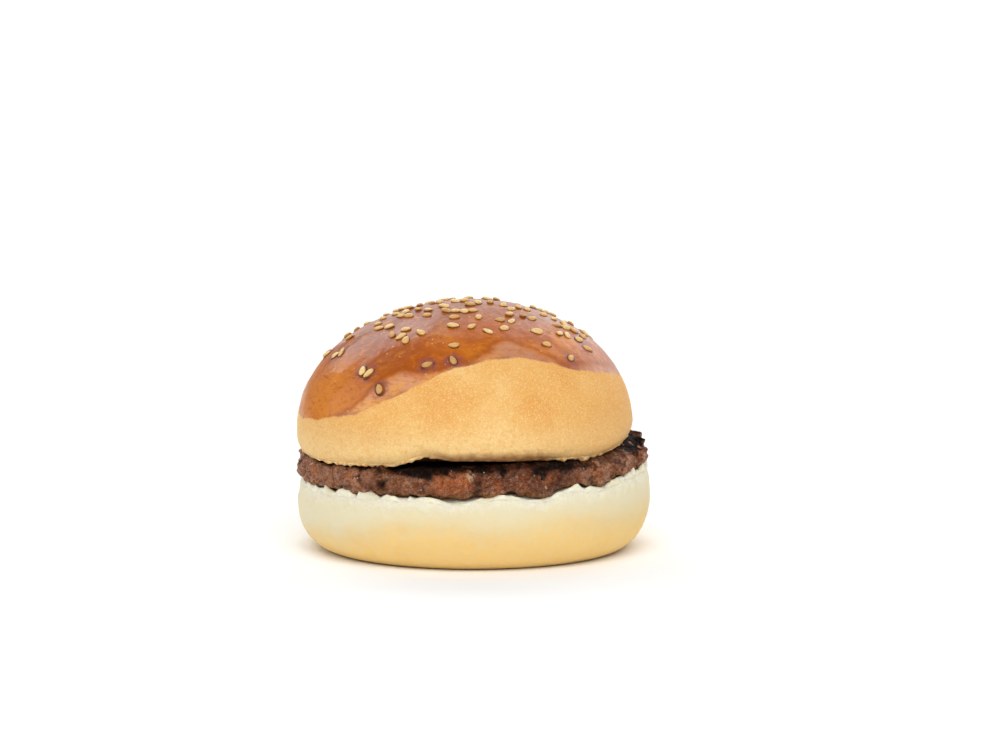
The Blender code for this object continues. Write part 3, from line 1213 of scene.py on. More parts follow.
@dataclass(frozen=True)
class SeedGlaze(Finish):
    """Dark glaze that pooled round the foot of each seed."""

    name: ClassVar[str] = "pooled_glaze"
    roughness: float = 0.45
    specular: float = 0.15
    coat: float = 0.2
    coat_roughness: float = 0.15
    dark: Colour = srgb(92, 42, 18)
    amber: Colour = srgb(146, 74, 18)

    def paint(self, s: Sheet) -> None:
        """Set on the sheet what isn't the same all over.

        Args:
            s: The material's sheet.
        """
        s.set("Base Color", s.ramp(s.noise(3.0, 2.0), ((0.35, self.dark), (0.65, self.amber))))
        s.set("Coat Weight", self.coat)
        s.set("Coat Roughness", self.coat_roughness)


@dataclass(frozen=True)
class StudioWhite(Finish):
    """The plain pale floor."""

    name: ClassVar[str] = "studio_white"
    roughness: float = 0.9
    specular: float = 0.0
    white: Colour = (0.95, 0.95, 0.95)

    def paint(self, s: Sheet) -> None:
        """Set on the sheet what isn't the same all over."""
        s.set("Base Color", self.white)


@dataclass
class Heel:
    """Bottom half of the bun: a flat foot, a full belly and a ragged, pressed cut face."""

    stack: Stack
    radius: float = 50.2 * MM
    widest: float = 14.0 * MM
    foot_radius: float = 39.5 * MM
    cut_radius: float = 48.9 * MM
    face_ring: float = 36.0 * MM
    rim_width: float = 0.8 * MM
    rim_drop: float = 0.5 * MM
    rim_angle: float = math.radians(55)
    swell_place: float = 7.0
    ragged: float = 0.5 * MM
    ragged_size: float = 3.5 * MM
    ragged_zone: Range = (0.9, 1.0)
    foot_ring: float = 20.0 * MM
    segments: int = 480
    crust_heights: Range = (1.0 * MM, 5.0 * MM)
    crust_radii: Range = (38.0 * MM, 46.0 * MM)
    crust: tuple[Relief, ...] = (Relief("dimples", 5.0 * MM, 0.35 * MM), Relief("skin", 1.4 * MM, 0.12 * MM))
    torn_heights: Range = (14.0 * MM, 20.0 * MM)
    torn_radii: Range = (44.0 * MM, 47.0 * MM)
    tears: Relief = Relief("tears", 3.2 * MM, 0.8 * MM, 3)
    fringe_inset: float = 0.85 * MM
    fringe_lean: float = 0.9 * MM
    fringe: Fringe = Fringe(
        height=2.2 * MM,
        thickness=1.0 * MM,
        calm=0.42,
        torn=(
            (-50, 34, 0.55), (-70, 22, 0.35), (-17, 8, 0.75), (-40, 7, 0.4), (36, 12, 0.35),
            (64, 22, 0.5), (78, 30, 0.75), (120, 40, 0.4), (-150, 50, 0.4), (170, 16, 0.5),
        ),
        tuft=3.4 * MM,
        fray=0.3 * MM,
    )

    def outline(self) -> list[Point]:
        """Half section from the middle of the cut face, over the rim, down to the foot.

        Returns:
            (radius, height) points.
        """
        top = self.stack.cut_height
        shoulder = (self.cut_radius - self.rim_width, top)
        rim = (self.cut_radius, top - self.rim_drop)
        widest = (self.radius, self.widest)
        return [
            (0.0, top),
            (CORE, top),
            *line((CORE, top), (self.face_ring, top), 10),
            *line((self.face_ring, top), shoulder, 20),
            *line(shoulder, rim, 2),
            *arc(rim, widest, self.rim_angle, 0.0, 12),
            *arc(widest, (self.foot_radius, 0.0), 0.0, -QUARTER, 30),
            *line((self.foot_radius, 0.0), (CORE, 0.0), 10),
            (0.0, 0.0),
        ]

    def settle(self, point: Vector) -> Vector:
        """Lean, press and swell a point of the plain body, as the frame's node is.

        Args:
            point: A point of the plain body.

        Returns:
            Where it comes to lie.
        """
        x, y, z = point
        if z <= 0.0:
            return point
        height = z / self.stack.cut_height
        radius = math.hypot(x, y)
        side = smooth(self.foot_ring, self.foot_radius, radius)
        ragged = self.ragged * noise.noise(point / self.ragged_size) * smooth(*self.ragged_zone, height)
        outward = side * (self.stack.swell(point, self.swell_place) * height + ragged)
        scale = 1.0 + outward / max(radius, MM)
        press = self.stack.press(x, y) * height ** 4
        lean = height * x * math.tan(self.stack.lean)
        return Vector((x * scale, y * scale, z + lean - press))

    def crusty(self, point: Vector) -> float:
        """Share of the crust's relief at a point: none on the foot and on the cut face."""
        return smooth(*self.crust_heights, point.z) * smooth(*self.crust_radii, point.xy.length)

    def ripped(self, point: Vector) -> float:
        """Share of the tears at a point: they lie under the rim."""
        level = point.z - point.x * math.tan(self.stack.lean)
        return smooth(*self.torn_heights, level) * smooth(*self.torn_radii, point.xy.length)

    def mesh(self) -> Piece:
        """Model the heel.

        Returns:
            The heel.
        """
        body = ring_body("heel", self.outline(), self.segments)
        keep_mark(body, Mark.RIM, [(self.stack.cut_height - vert.co.z) / MM for vert in body.data.vertices])
        move_points(body, self.settle)
        side = vertex_group(body, "crust", self.crusty)
        for relief in self.crust:
            relief.lay(body, side)
        self.tears.lay(body, vertex_group(body, "torn", self.ripped))
        return body

    def rim(self, around: float) -> Vector:
        """Point at an azimuth on which the torn crumb stands."""
        height = self.stack.cut_height - self.rim_drop
        return self.settle(round_point(around, self.cut_radius - self.fringe_inset, height))

    def build(self) -> list[Piece]:
        """Model, dress and attach the heel and the torn crumb along its rim.

        Returns:
            Both pieces.
        """
        body = self.mesh()
        torn = self.fringe.mesh("heel_torn_rim", self.rim, 1.0, self.fringe_lean)
        body.data.materials.append(HeelCrust().make())
        torn.data.materials.append(Crumb().make())
        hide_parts(Node.HEEL.value)
        for piece in (body, torn):
            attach(piece, BODY)
        return [body, torn]


@dataclass
class Patty:
    """Grilled beef patty with a craggy edge.

    Millimetres: the heights and widths of the spots, the lumps' sizes, and outside, from where rays
    are cast to find the edge.
    """

    stack: Stack
    radius: float = 49.8 * MM
    flat_radius: float = 45.5 * MM
    face_ring: float = 34.0 * MM
    fullness: float = 0.55
    crag: float = 1.5 * MM
    crag_size: float = 5.5 * MM
    crag_octaves: int = 3
    wave_size: float = 16.0 * MM
    wave_share: float = 0.7
    segments: int = 640
    edge_steps: int = 36
    edge: Range = (43.5 * MM, 47.0 * MM)
    flat_share: float = 0.35
    inset: float = 0.25 * MM
    trims: tuple[Lobe, ...] = ((80, 34, 0.9 * MM),)
    fold_size: float = 3.5 * MM
    fold_bend: float = 1.0
    fold_height: float = 1.0 * MM
    broad_size: float = 9.0 * MM
    grain_size: float = 1.1 * MM
    hollows: Range = (-0.75, -0.12)
    # Heights, as shares of the thickness, where the edge and the top darken with char and painted shade.
    char_shade_edge: Range = (0.52, 0.88)
    char_shade_top: Range = (0.75, 0.97)
    juicy_foot: Range = (0.0, 0.28)
    lump_count: int = 70
    lump_draw: int = 11
    lump_shape: tuple[float, float, float] = (1.4, 1.0, 0.7)
    lump_dents: float = 0.6
    lump_levels: Range = (0.08, 0.95)
    lump_sizes: Range = (0.6, 1.6)
    lump_spread: float = 1.3
    lump_sink: float = 0.18
    outside: float = 60.0
    pale_edges: tuple[Lobe, ...] = ((-74, 44, 0.85),)
    # Lobes of the upper edge that darken, with char and with painted shade under the crown.
    hot_and_shaded_edges: tuple[Lobe, ...] = (
        (86, 18, 1.4), (-18, 16, 1.4), (8, 24, 0.2), (34, 14, 0.4), (175, 40, 0.8),
    )
    scorches: tuple[Spot, ...] = (
        (-31, 4.0, 5.0, 1.3), (-35, 2.6, 3.0, 0.8), (2, 4.6, 2.6, 1.2), (10, 5.8, 3.0, 0.9),
        (21, 6.4, 4.0, 1.0), (28, 4.4, 9.0, 0.8), (-62, 6.0, 2.5, 0.6), (43, 2.0, 4.0, 0.6),
        (70, 6.6, 4.0, 0.5), (102, 3.0, 6.0, 0.9), (131, 5.0, 5.0, 0.8), (158, 3.0, 6.0, 0.9),
        (-172, 5.0, 5.0, 0.8), (-140, 3.4, 5.0, 0.9), (-104, 5.0, 5.0, 0.8),
    )
    browned: tuple[Spot, ...] = (
        (-9, 4.6, 10.0, 0.8), (-2, 5.4, 6.0, 0.5), (8, 2.6, 6.0, 0.6), (25, 4.6, 5.0, 0.7),
        (17, 3.6, 6.0, 0.4), (-66, 5.0, 4.0, 0.7), (-44, 6.0, 6.0, 0.4), (44, 6.0, 6.0, 0.5),
        (120, 4.0, 10.0, 0.8), (176, 5.0, 9.0, 0.8), (-124, 4.4, 9.0, 0.8), (90, 5.0, 6.0, 0.5),
    )
    fatty: tuple[Spot, ...] = (
        (-1, 6.6, 2.0, 1.1), (-68, 7.0, 1.2, 0.9), (24, 3.0, 1.2, 0.9), (62, 5.4, 1.2, 0.8),
        (-47, 3.0, 1.1, 0.8), (112, 5.4, 1.8, 1.0), (150, 4.0, 1.4, 0.9), (-158, 5.6, 1.8, 1.0),
        (-120, 4.0, 1.4, 0.9),
    )

    def outline(self) -> list[Point]:
        """Half section: flat faces and a full, rounded edge.

        Returns:
            (radius, height) points.
        """
        top = self.stack.patty_thickness
        half = top / 2
        bulge = self.radius - self.flat_radius
        angles = [QUARTER - 2 * QUARTER * i / self.edge_steps for i in range(1, self.edge_steps)]
        return [
            (0.0, top),
            (CORE, top),
            *line((CORE, top), (self.face_ring, top), 10),
            *line((self.face_ring, top), (self.flat_radius, top), 14),
            *(
                (self.flat_radius + bulge * math.cos(angle) ** self.fullness, half + half * math.sin(angle))
                for angle in angles
            ),
            (self.flat_radius, 0.0),
            *line((self.flat_radius, 0.0), (self.face_ring, 0.0), 12),
            *line((self.face_ring, 0.0), (CORE, 0.0), 6),
            (0.0, 0.0),
        ]

    def settle(self, point: Vector) -> Vector:
        """Crag and press a point of the plain body, as the frame's node is.

        Args:
            point: A point of the plain body.

        Returns:
            Where it comes to lie.
        """
        x, y, z = point
        radius = math.hypot(x, y)
        up = z / self.stack.patty_thickness
        edge = smooth(self.flat_radius, self.radius, radius)
        crag = noise.fractal(point / self.crag_size, 1.0, 2.0, self.crag_octaves)
        crag += self.wave_share * noise.noise(point / self.wave_size)
        scale = 1.0 + edge * self.crag * crag / max(radius, MM)
        drop = self.stack.press(x, y) * (1.0 - up) + self.stack.sink(x, y) * up
        return Vector((x * scale, y * scale, z - drop))

    def mince(self, point: Vector) -> tuple[float, float, float]:
        """Folds of mince at a point.

        Args:
            point: A point in the patty's own frame.

        Returns:
            How far the fold rises, from about -0.6 to 0.6, the tone of its meat and how deep the point lies
            in a crevice, which the finish darkens as painted shade, both from 0 to 1.
        """
        bent = point / self.fold_size + self.fold_bend * drift(point / (1.3 * self.fold_size))
        fold = noise.noise(bent)
        bead = noise.noise(bent * 2.7 + Vector((3.0, 0.0, 0.0)))
        grain = noise.fractal(point / self.grain_size, 1.0, 2.0, 3)
        broad = noise.noise(point / self.broad_size + Vector((0.0, 5.0, 0.0)))
        crest = 0.9 * abs(fold) ** 0.8 * (1.0 if fold > 0.0 else -1.0)
        rise = crest + 0.32 * bead + 0.2 * grain + 0.8 * broad
        tone = 0.5 + 0.8 * noise.noise(bent * 0.8 + Vector((0.0, 0.0, 9.0)))
        return rise, tone, 1.0 - smooth(*self.hollows, fold + 0.4 * bead)

    def char_and_shade(self, point: Vector, up: float) -> float:
        """How dark a point is from char and painted shade: the top most, the edge in spots, and the upper
        edge in lobes, partly char and partly painted shade under the crown.

        Args:
            point: A point in the patty's own frame.
            up: Its height, from 0 to 1.

        Returns:
            0 where raw, 1 and more where dark.
        """
        around = azimuth(point.x, point.y)
        hot = lobes(around, self.hot_and_shaded_edges) * smooth(*self.char_shade_edge, up)
        top = smooth(*self.char_shade_top, up) * (1.0 - lobes(around, self.pale_edges))
        return top + hot + spots(around, up * self.stack.patty_thickness / MM, self.scorches)

    def look(self, point: Vector, up: float) -> tuple[float, dict[Mark, float]]:
        """How the mince looks at a point of the edge or the faces.

        Args:
            point: A point in the patty's own frame.
            up: Its height on the plain body, from 0 to 1.

        Returns:
            How far the point moves outwards, and what the finish reads there.
        """
        rise, tone, hollow_shade = self.mince(point)
        around = azimuth(point.x, point.y)
        level = up * self.stack.patty_thickness / MM
        edge = smooth(*self.edge, point.xy.length)
        share = self.flat_share + (1.0 - self.flat_share) * edge
        trim = (self.inset + lobes(around, self.trims)) * edge
        return self.fold_height * rise * share - trim, {
            Mark.LUMP: tone,
            Mark.HOLLOW: hollow_shade,
            Mark.CHAR: self.char_and_shade(point, up),
            Mark.WARM: spots(around, level, self.browned),
            Mark.FAT: spots(around, level, self.fatty),
            Mark.FOOT: 1.0 - smooth(*self.juicy_foot, up),
        }

    def mesh(self) -> Piece:
        """Model the patty, with folds and grains of mince standing out of its edge.

        Returns:
            The patty.
        """
        body = ring_body("beef_patty", self.outline(), self.segments)
        ups = [vert.co.z / self.stack.patty_thickness for vert in body.data.vertices]
        move_points(body, self.settle)
        looks = [self.look(vert.co, up) for vert, up in zip(body.data.vertices, ups)]
        moved = [vert.co + vert.normal * out for vert, (out, _) in zip(body.data.vertices, looks)]
        body.data.vertices.foreach_set("co", np.array(moved, np.float32).ravel())
        for mark in looks[0][1]:
            keep_mark(body, mark, [marks[mark] for _, marks in looks])
        body.data.transform(self.stack.patty_place())
        body.data.update()
        return body

    def lump(self) -> Piece:
        """Model one small lump of mince.

        Returns:
            The lump, at the origin.
        """
        operator = bpy.ops.mesh.primitive_ico_sphere_add
        pattern = resize(primitive(operator, "lump", subdivisions=2, radius=0.5), *self.lump_shape)
        for vert in pattern.data.vertices:
            vert.co *= 1.0 + self.lump_dents * noise.noise(vert.co * 2.0 + Vector((4.0, 0.0, 0.0)))
        return pattern

    def loose_lumps(self, body: Piece) -> Piece:
        """Model the small lumps of mince that stick to the edge.

        Args:
            body: The patty.

        Returns:
            The lumps, joined.
        """
        draw = random.Random(self.lump_draw)
        tree = BVHTree.FromObject(body, bpy.context.evaluated_depsgraph_get())
        pattern = self.lump()
        place = self.stack.patty_place()
        places = []
        tones = []
        for _ in range(self.lump_count):
            way = round_point(draw.uniform(-180.0, 180.0), 1.0, 0.0)
            up = draw.uniform(*self.lump_levels) * self.stack.patty_thickness
            start = place @ (way * self.outside * MM + Vector((0.0, 0.0, up)))
            turn = draw.uniform(0.0, math.tau)
            size = draw.uniform(*self.lump_sizes) ** self.lump_spread * MM
            tone = draw.random()
            point, normal, _, _ = tree.ray_cast(start, place.to_3x3() @ -way)
            if point is None:
                continue
            places.append(standing(point - normal * size * self.lump_sink, normal, turn, size))
            tones.append(tone)
        lumps = scatter("mince_lumps", pattern, places, tones)
        tones = np.zeros(len(lumps.data.vertices), np.float32)
        lumps.data.attributes[Mark.TONE.value].data.foreach_get("value", tones)
        keep_mark(lumps, Mark.LUMP, tones)
        for mark in (Mark.HOLLOW, Mark.CHAR, Mark.WARM, Mark.FAT, Mark.FOOT):
            keep_mark(lumps, mark, np.zeros(len(tones)))
        return lumps

    def build(self) -> list[Piece]:
        """Model, dress and attach the patty and its loose lumps.

        Returns:
            Both pieces.
        """
        body = self.mesh()
        lumps = self.loose_lumps(body)
        beef = GrilledBeef().make()
        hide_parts(Node.PATTY.value)
        for piece in (body, lumps):
            piece.data.materials.append(beef)
            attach(piece, BODY)
        return [body, lumps]


@dataclass
class Seeds:
    """Sesame seeds on the crown, drawn by the same rule as the frame's, each in a low ring of glaze.

    The seeds' rises and the reach of a low seed's halo are in millimetres.
    """

    length: float = 3.3 * MM
    width: float = 2.1 * MM
    height: float = 1.25 * MM
    taper: float = 0.42
    broader: float = 1.22
    pool_shape: tuple[float, float, float] = (1.18, 1.24, 0.42)
    pool_sizes: Range = (0.86, 0.94)
    pool_growth: float = 0.2
    pool_angles: Range = (38.0, 50.0)
    rises: Range = (0.12, 0.38)
    pitch: float = 0.2
    roll: float = 0.3
    tones: Range = (0.15, 1.0)
    low_angle: float = 46.0
    low_reach: float = 1.3
    far: float = 100.0 * MM
    spacing: float = 3.1 * MM
    count: int = 148
    draw: int = 23
    dense_angle: float = 34.0
    last_angle: float = 62.0
    sizes: Range = (0.88, 1.1)
    patch_size: float = 14.0 * MM
    patch_mean: float = 0.75
    patch_swing: float = 0.6
    back: float = -0.16
    placed: tuple[tuple[float, float, float], ...] = (
        (-32, 63, 130), (-40, 56, 250), (-44, 55, 120), (53, 54, 20), (-89, 52, 50), (71, 52, -40),
        (-14, 51, 35), (-74, 50, 55), (-3, 49, 110), (-70, 48, 110), (93, 47, 30), (73, 47, -20),
        (82, 47, -10), (46, 45, 160), (-102, 43, 45), (68, 43, 40), (81, 43, -40), (-83, 41, 40),
        (-3, 41, 170), (64, 41, 0), (78, 40, -30), (-103, 39, 40), (-30, 38, 100), (86, 38, 30),
        (49, 37, 150), (73, 37, -40), (-35, 36, 240), (-106, 35, 30), (-43, 35, 150), (-24, 33, 150),
        (18, 33, 130), (86, 34, -15), (-63, 32, 30), (30, 32, 190), (-37, 31, 10), (-75, 30, 25),
        (-55, 30, 30), (85, 30, -20), (63, 29, -15), (9, 29, 40), (-4, 28, 0), (-111, 28, 20),
        (41, 28, 20), (-88, 27, 25), (33, 26, 150), (60, 26, 5), (83, 24, -20), (50, 23, 10),
        (-86, 22, 35), (-112, 22, 20), (18, 22, 60), (-4, 21, 0), (-55, 21, 0), (-66, 22, 200),
        (80, 21, -5), (65, 20, -15), (-35, 19, -10), (-75, 19, 30), (-98, 17, 20), (18, 16, 5),
        (6, 16, 150), (73, 16, -5), (-4, 15, -20), (-16, 15, -20), (-69, 15, 165), (-48, 14, 0),
        (-104, 14, 10), (76, 11, 15), (-113, 10, 5), (-33, 9, 170), (26, 9, -5), (56, 8, -10),
        (-110, 7, 0), (92, 2, 60), (-85, 1, 10),
        (118, 55, 70), (150, 49, 200), (171, 60, 20), (-160, 52, 310), (-135, 57, 100), (-112, 48, 40),
    )

    def places(
        self, dome_point: Callable[[float, float], Vector]
    ) -> list[tuple[float, float, float, float]]:
        """Find the places of the seeds: first those set one by one, then those that the rule draws.

        Args:
            dome_point: The dome's point at an azimuth and at an angle from its top.

        Returns:
            The azimuth, angle from the top, turn and size of each seed.
        """
        draw = random.Random(self.draw)
        places = []
        points = []
        for around, down, turn in self.placed:
            places.append((around, down, turn, draw.uniform(*self.sizes)))
            points.append(dome_point(around, down))
        while len(places) < self.count:
            around = draw.uniform(-180, 180)
            down = math.degrees(math.acos(draw.uniform(math.cos(math.radians(self.last_angle)), 1.0)))
            turn = draw.uniform(0, 360)
            size = draw.uniform(*self.sizes)
            chance = draw.random()
            if math.tan(math.radians(down)) * math.cos(math.radians(around)) > self.back:
                continue
            point = dome_point(around, down)
            patch = self.patch_mean + self.patch_swing * noise.noise(point / self.patch_size)
            if chance > patch * (1.0 - smooth(self.dense_angle, self.last_angle, down)):
                continue
            if min((point - other).length for other in points) < self.spacing:
                continue
            places.append((around, down, turn, size))
            points.append(point)
        return places

    def pattern(self) -> Piece:
        """Model one seed: a flat drop with a blunt and a narrow end, and a faint ridge.

        Returns:
            The seed, at the origin.
        """
        seed = primitive(bpy.ops.mesh.primitive_uv_sphere_add, "seed", segments=10, ring_count=8, radius=0.5)
        with editing():
            bpy.ops.transform.rotate(value=QUARTER, orient_axis="Y", center_override=ORIGIN)
        for vert in seed.data.vertices:
            narrow = 1.0 - self.taper * (0.5 + vert.co.x)
            vert.co.y *= narrow
            vert.co.z *= narrow ** 0.5
        return resize(seed, self.length, self.width * self.broader, self.height)

    def pool(self) -> Piece:
        """Model the low ring of glaze round a seed's foot.

        Returns:
            The ring, at the origin.
        """
        pool = primitive(bpy.ops.mesh.primitive_uv_sphere_add, "pool", segments=16, ring_count=8, radius=0.5)
        long, broad, high = self.pool_shape
        return resize(pool, self.length * long, self.width * broad, self.height * high)


@dataclass
class Crown:
    """Top half of the bun: a glazed dome over a matt band, with sesame seeds."""

    stack: Stack
    seeds: Seeds
    radius: float = 48.1 * MM
    dome: float = 35.0 * MM
    skirt: float = 4.9 * MM
    cut_radius: float = 46.6 * MM
    face_ring: float = 33.0 * MM
    rim_width: float = 0.9 * MM
    rim_height: float = 0.7 * MM
    rim_angle: float = math.radians(60)
    fade: float = 13.0 * MM
    swell_place: float = 3.0
    segments: int = 480
    cut_face: float = 0.05 * MM
    crust_heights: Range = (0.5 * MM, 4.0 * MM)
    crust: tuple[Relief, ...] = (Relief("dimples", 7.0 * MM, 0.4 * MM), Relief("skin", 1.6 * MM, 0.1 * MM))
    glaze_edge: float = 72.0
    glaze_lobes: tuple[Lobe, ...] = (
        (18, 62, -20), (38, 48, -4), (-72, 48, 9), (-6, 26, -4), (76, 28, -5), (122, 44, -7),
        (172, 34, 6), (-140, 34, -6),
    )
    glaze_waver: float = 1.6
    waver_size: float = 13.0 * MM
    mean_radius: float = 42.0
    thin_width: float = 1.0
    # The thin zone carries the rosy and pinkish wash, which is partly painted sheen.
    thin_lobes: tuple[Lobe, ...] = (
        (-28, 20, 8.0), (26, 20, 5.5), (66, 22, 2.0), (100, 24, 2.5), (150, 30, 5.0), (-120, 34, 4.0),
        (-76, 44, -6.0),
    )
    fringe_inset: float = 0.35 * MM
    fringe_height: float = 0.45 * MM
    fringe_lean: float = 0.2 * MM
    fringe: Fringe = Fringe(
        height=1.2 * MM,
        thickness=0.5 * MM,
        calm=0.3,
        torn=((34, 6, 0.7), (48, 9, 0.8), (-17, 12, 0.5), (-42, 24, 0.6), (150, 60, 0.4), (-120, 50, 0.4)),
        tuft=1.7 * MM,
        tooth=0.7 * MM,
        place=5.0,
    )

    def dome_point(self, around: float, down: float) -> Vector:
        """Point of the plain dome at an azimuth and at an angle from its top, both in degrees."""
        d = math.radians(down)
        return round_point(around, self.radius * math.sin(d), self.skirt + self.dome * math.cos(d))

    def outline(self) -> list[Point]:
        """Half section from the top of the dome, over the skirt, to the middle of the cut face.

        Returns:
            (radius, height) points.
        """
        top = (0.0, self.skirt + self.dome)
        widest = (self.radius, self.skirt)
        rim = (self.cut_radius, self.rim_height)
        face = (self.cut_radius - self.rim_width, 0.0)
        return [
            top,
            *arc(top, widest, QUARTER, 0.0, 110),
            *arc(widest, rim, 0.0, -self.rim_angle, 8),
            *arc(rim, face, 0.0, -QUARTER, 3),
            *line(face, (self.face_ring, 0.0), 16),
            *line((self.face_ring, 0.0), (CORE, 0.0), 8),
            (0.0, 0.0),
        ]

    def settle(self, point: Vector) -> Vector:
        """Swell, lift and sink a point of the plain body, as the frame's node is.

        Args:
            point: A point of the plain body.

        Returns:
            Where it comes to lie.
        """
        x, y, z = point
        face = 1.0 - smooth(0.0, self.fade, z)
        skin = smooth(0.0, self.skirt, z)
        if z > 0.0:
            point = point + point.normalized() * self.stack.swell(point, self.swell_place) * skin
        point.z += face * (self.stack.lift(x, y) - self.stack.sink(x + self.stack.crown_shift, y))
        return point

    def above_glaze(self, point: Vector) -> float:
        """How far a point of the crown's own frame lies above the glaze's edge, in millimetres.

        Args:
            point: The point.

        Returns:
            The height, below 0 on the band.
        """
        around = azimuth(point.x, point.y)
        out = math.hypot(point.x, point.y) / self.radius
        down = math.degrees(math.atan2(out, (point.z - self.skirt) / self.dome))
        edge = self.glaze_edge + lobes(around, self.glaze_lobes)
        edge += self.glaze_waver * noise.noise(point.xy.to_3d() / self.waver_size)
        return math.radians(edge - down) * self.mean_radius

    def thin_glaze(self, point: Vector) -> float:
        """How wide the zone of thin glaze is at a point's azimuth, in millimetres."""
        return self.thin_width + lobes(azimuth(point.x, point.y), self.thin_lobes)

    def mesh(self) -> Piece:
        """Model the crown in its own frame, with what its finish reads.

        Returns:
            The crown.
        """
        body = ring_body("crown", self.outline(), self.segments)
        keep_mark(body, Mark.RIM, [(vert.co.z - self.rim_height) / MM for vert in body.data.vertices])
        for face in body.data.polygons:
            face.material_index = 1 if face.center.z < self.cut_face else 0
        move_points(body, self.settle)
        side = vertex_group(body, "crust", lambda point: smooth(*self.crust_heights, point.z))
        for relief in self.crust:
            relief.lay(body, side)
        above = np.array([self.above_glaze(vert.co) for vert in body.data.vertices])
        thin = np.array([self.thin_glaze(vert.co) for vert in body.data.vertices])
        keep_mark(body, Mark.GLAZE, above)
        keep_mark(body, Mark.THICK, above - thin)
        return body

    def mark_seeds(self, body: Piece, low: Sequence[Vector]) -> None:
        """Keep on the crown's points how far each lies from the nearest of the low seeds.

        Args:
            body: The crown.
            low: Where the low seeds lie.
        """
        points = np.array([vert.co[:] for vert in body.data.vertices])
        nearest = np.full(len(points), self.seeds.far)
        for point in low:
            nearest = np.minimum(nearest, np.linalg.norm(points - np.array(point), axis=1))
        keep_mark(body, Mark.SEED, np.maximum(nearest / MM - self.seeds.low_reach, 0.0))

    def sow(self, body: Piece) -> tuple[Piece, Piece]:
        """Lay the seeds and their pools of glaze on the dome.

        Args:
            body: The crown, whose points get their distance from the low seeds.

        Returns:
            The seeds and the pools, each joined in one piece.
        """
        tree = BVHTree.FromObject(body, bpy.context.evaluated_depsgraph_get())
        heart = Vector((0.0, 0.0, self.skirt))
        rule = self.seeds
        draw = random.Random(rule.draw + 1)
        seeds, pools, tones, low = [], [], [], []
        for around, down, turn, size in rule.places(self.dome_point):
            ray = (self.dome_point(around, down) - heart).normalized()
            point, normal, _, _ = tree.ray_cast(heart, ray)
            rise = draw.uniform(*rule.rises) * MM
            pitch = Matrix.Rotation(draw.uniform(-rule.pitch, rule.pitch), 4, "Y")
            roll = Matrix.Rotation(draw.uniform(-rule.roll, rule.roll), 4, "X")
            lean = pitch @ roll
            seeds.append(standing(point + normal * rise, normal, math.radians(turn), size) @ lean)
            ring = draw.uniform(*rule.pool_sizes) + rule.pool_growth * smooth(*rule.pool_angles, down)
            pools.append(standing(point, normal, math.radians(turn), size * ring))
            tones.append(draw.uniform(*rule.tones))
            if down > rule.low_angle:
                low.append(point)
        self.mark_seeds(body, low)
        sown = scatter("sesame_seeds", rule.pattern(), seeds, tones)
        pooled = scatter("pooled_glaze", rule.pool(), pools, tones)
        return sown, pooled

    def rim(self, around: float) -> Vector:
        """Point at an azimuth from which the torn edge hangs, in the crown's own frame."""
        return self.settle(round_point(around, self.cut_radius - self.fringe_inset, self.fringe_height))

    def build(self) -> list[Piece]:
        """Model, dress, place and attach the crown, its seeds and its torn edge.

        Returns:
            All four pieces.
        """
        body = self.mesh()
        seeds, pools = self.sow(body)
        torn = self.fringe.mesh("crown_torn_rim", self.rim, -1.0, self.fringe_lean)
        body.data.materials.append(CrownCrust().make())
        body.data.materials.append(ToastedShadedCut().make())
        seeds.data.materials.append(SeedSkin().make())
        pools.data.materials.append(SeedGlaze().make())
        torn.data.materials.append(TornCrust().make())
        for piece in (body, seeds, pools, torn):
            piece.data.transform(self.stack.crown_place())
            piece.data.update()
            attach(piece, BODY)
        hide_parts(Node.CROWN.value)
        return [body, seeds, pools, torn]


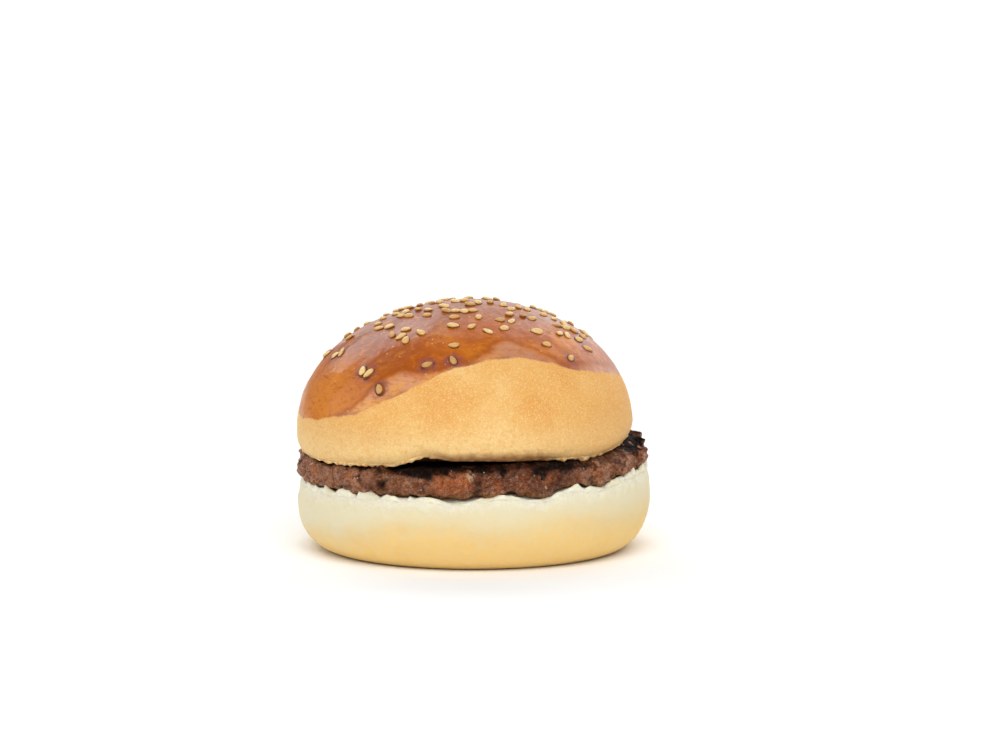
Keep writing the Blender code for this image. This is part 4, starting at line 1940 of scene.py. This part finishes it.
@dataclass
class Studio:
    """Plain white floor, soft light and the camera at the photograph's angle."""

    floor_radius: float = 8.0
    elevation: float = math.radians(8.0)
    distance: float = 1.8
    aim: tuple[float, float, float] = (7.4 * MM, 0.0, 49.2 * MM)
    frame_width: float = 285.0 * MM
    sensor: float = 36.0
    far_end: float = 50.0
    ambient: float = 0.3
    softboxes: tuple[tuple[str, float, float, float, float], ...] = (
        ("back_left_softbox", 0.66, 34.0, -150.0, 36.0),
        ("back_softbox", 0.4, 38.0, 180.0, 43.0),
        ("low_back_softbox", 0.2, 30.0, 180.0, 14.0),
        ("back_right_softbox", 0.46, 40.0, 143.0, 34.0),
        ("low_right_softbox", 0.3, 34.0, 156.0, 15.0),
        ("left_softbox", 0.45, 34.0, -100.0, 22.0),
        ("front_softbox", 2.2, 60.0, 6.0, 47.0),
    )

    def floor(self) -> None:
        """Lay the floor."""
        operator = bpy.ops.mesh.primitive_circle_add
        floor = primitive(operator, "studio_floor", vertices=96, radius=self.floor_radius, fill_type="NGON")
        floor.data.materials.append(StudioWhite().make())
        floor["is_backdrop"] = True

    def sun(self, name: str, strength: float, width: float, around: float, up: float) -> None:
        """Set a wide, soft light far away.

        Args:
            name: The light's name.
            strength: Its irradiance.
            width: How wide it is, in degrees.
            around: Its azimuth in degrees.
            up: Its height above the floor in degrees.
        """
        light = bpy.data.lights.new(name, "SUN")
        light.energy = strength
        light.angle = math.radians(width)
        lamp = bpy.data.objects.new(name, light)
        bpy.context.scene.collection.objects.link(lamp)
        way = round_point(around, math.cos(math.radians(up)), math.sin(math.radians(up)))
        lamp.rotation_euler = way.to_track_quat("Z", "Y").to_euler()

    def lights(self) -> None:
        """Set the ambient light and the soft boxes."""
        world = bpy.data.worlds.new("studio")
        world.use_nodes = True
        backdrop = world.node_tree.nodes["Background"]
        backdrop.inputs["Color"].default_value = (1.0, 1.0, 1.0, 1.0)
        backdrop.inputs["Strength"].default_value = self.ambient
        bpy.context.scene.world = world
        for name, strength, width, around, up in self.softboxes:
            self.sun(name, strength, width, around, up)

    def camera(self) -> None:
        """Set the camera."""
        lens = bpy.data.cameras.new("camera")
        lens.sensor_width = self.sensor
        lens.lens = self.sensor * self.distance / self.frame_width
        lens.clip_end = self.far_end
        eye = bpy.data.objects.new("camera", lens)
        bpy.context.scene.collection.objects.link(eye)
        way = round_point(0.0, math.cos(self.elevation), math.sin(self.elevation))
        eye.location = Vector(self.aim) + way * self.distance
        eye.rotation_euler = way.to_track_quat("Z", "Y").to_euler()
        bpy.context.scene.camera = eye

    def build(self) -> None:
        """Set the whole studio."""
        self.floor()
        self.lights()
        self.camera()
        bpy.context.scene.view_settings.view_transform = "Standard"


def main() -> None:
    """Build the studio and the food."""
    logging.basicConfig(level=logging.INFO, format="%(name)s: %(message)s")
    stack = Stack()
    Studio().build()
    for maker in (Heel(stack), Patty(stack), Crown(stack, Seeds())):
        for piece in maker.build():
            LOG.info("%s: %d points", piece.name, len(piece.data.vertices))
    bpy.context.view_layer.update()
    boxes = {"cad": CAD_BOX, "visual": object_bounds()}
    {name: [list(corner) for corner in box] for name, box in boxes.items()}


if __name__ == "__main__":
    main()
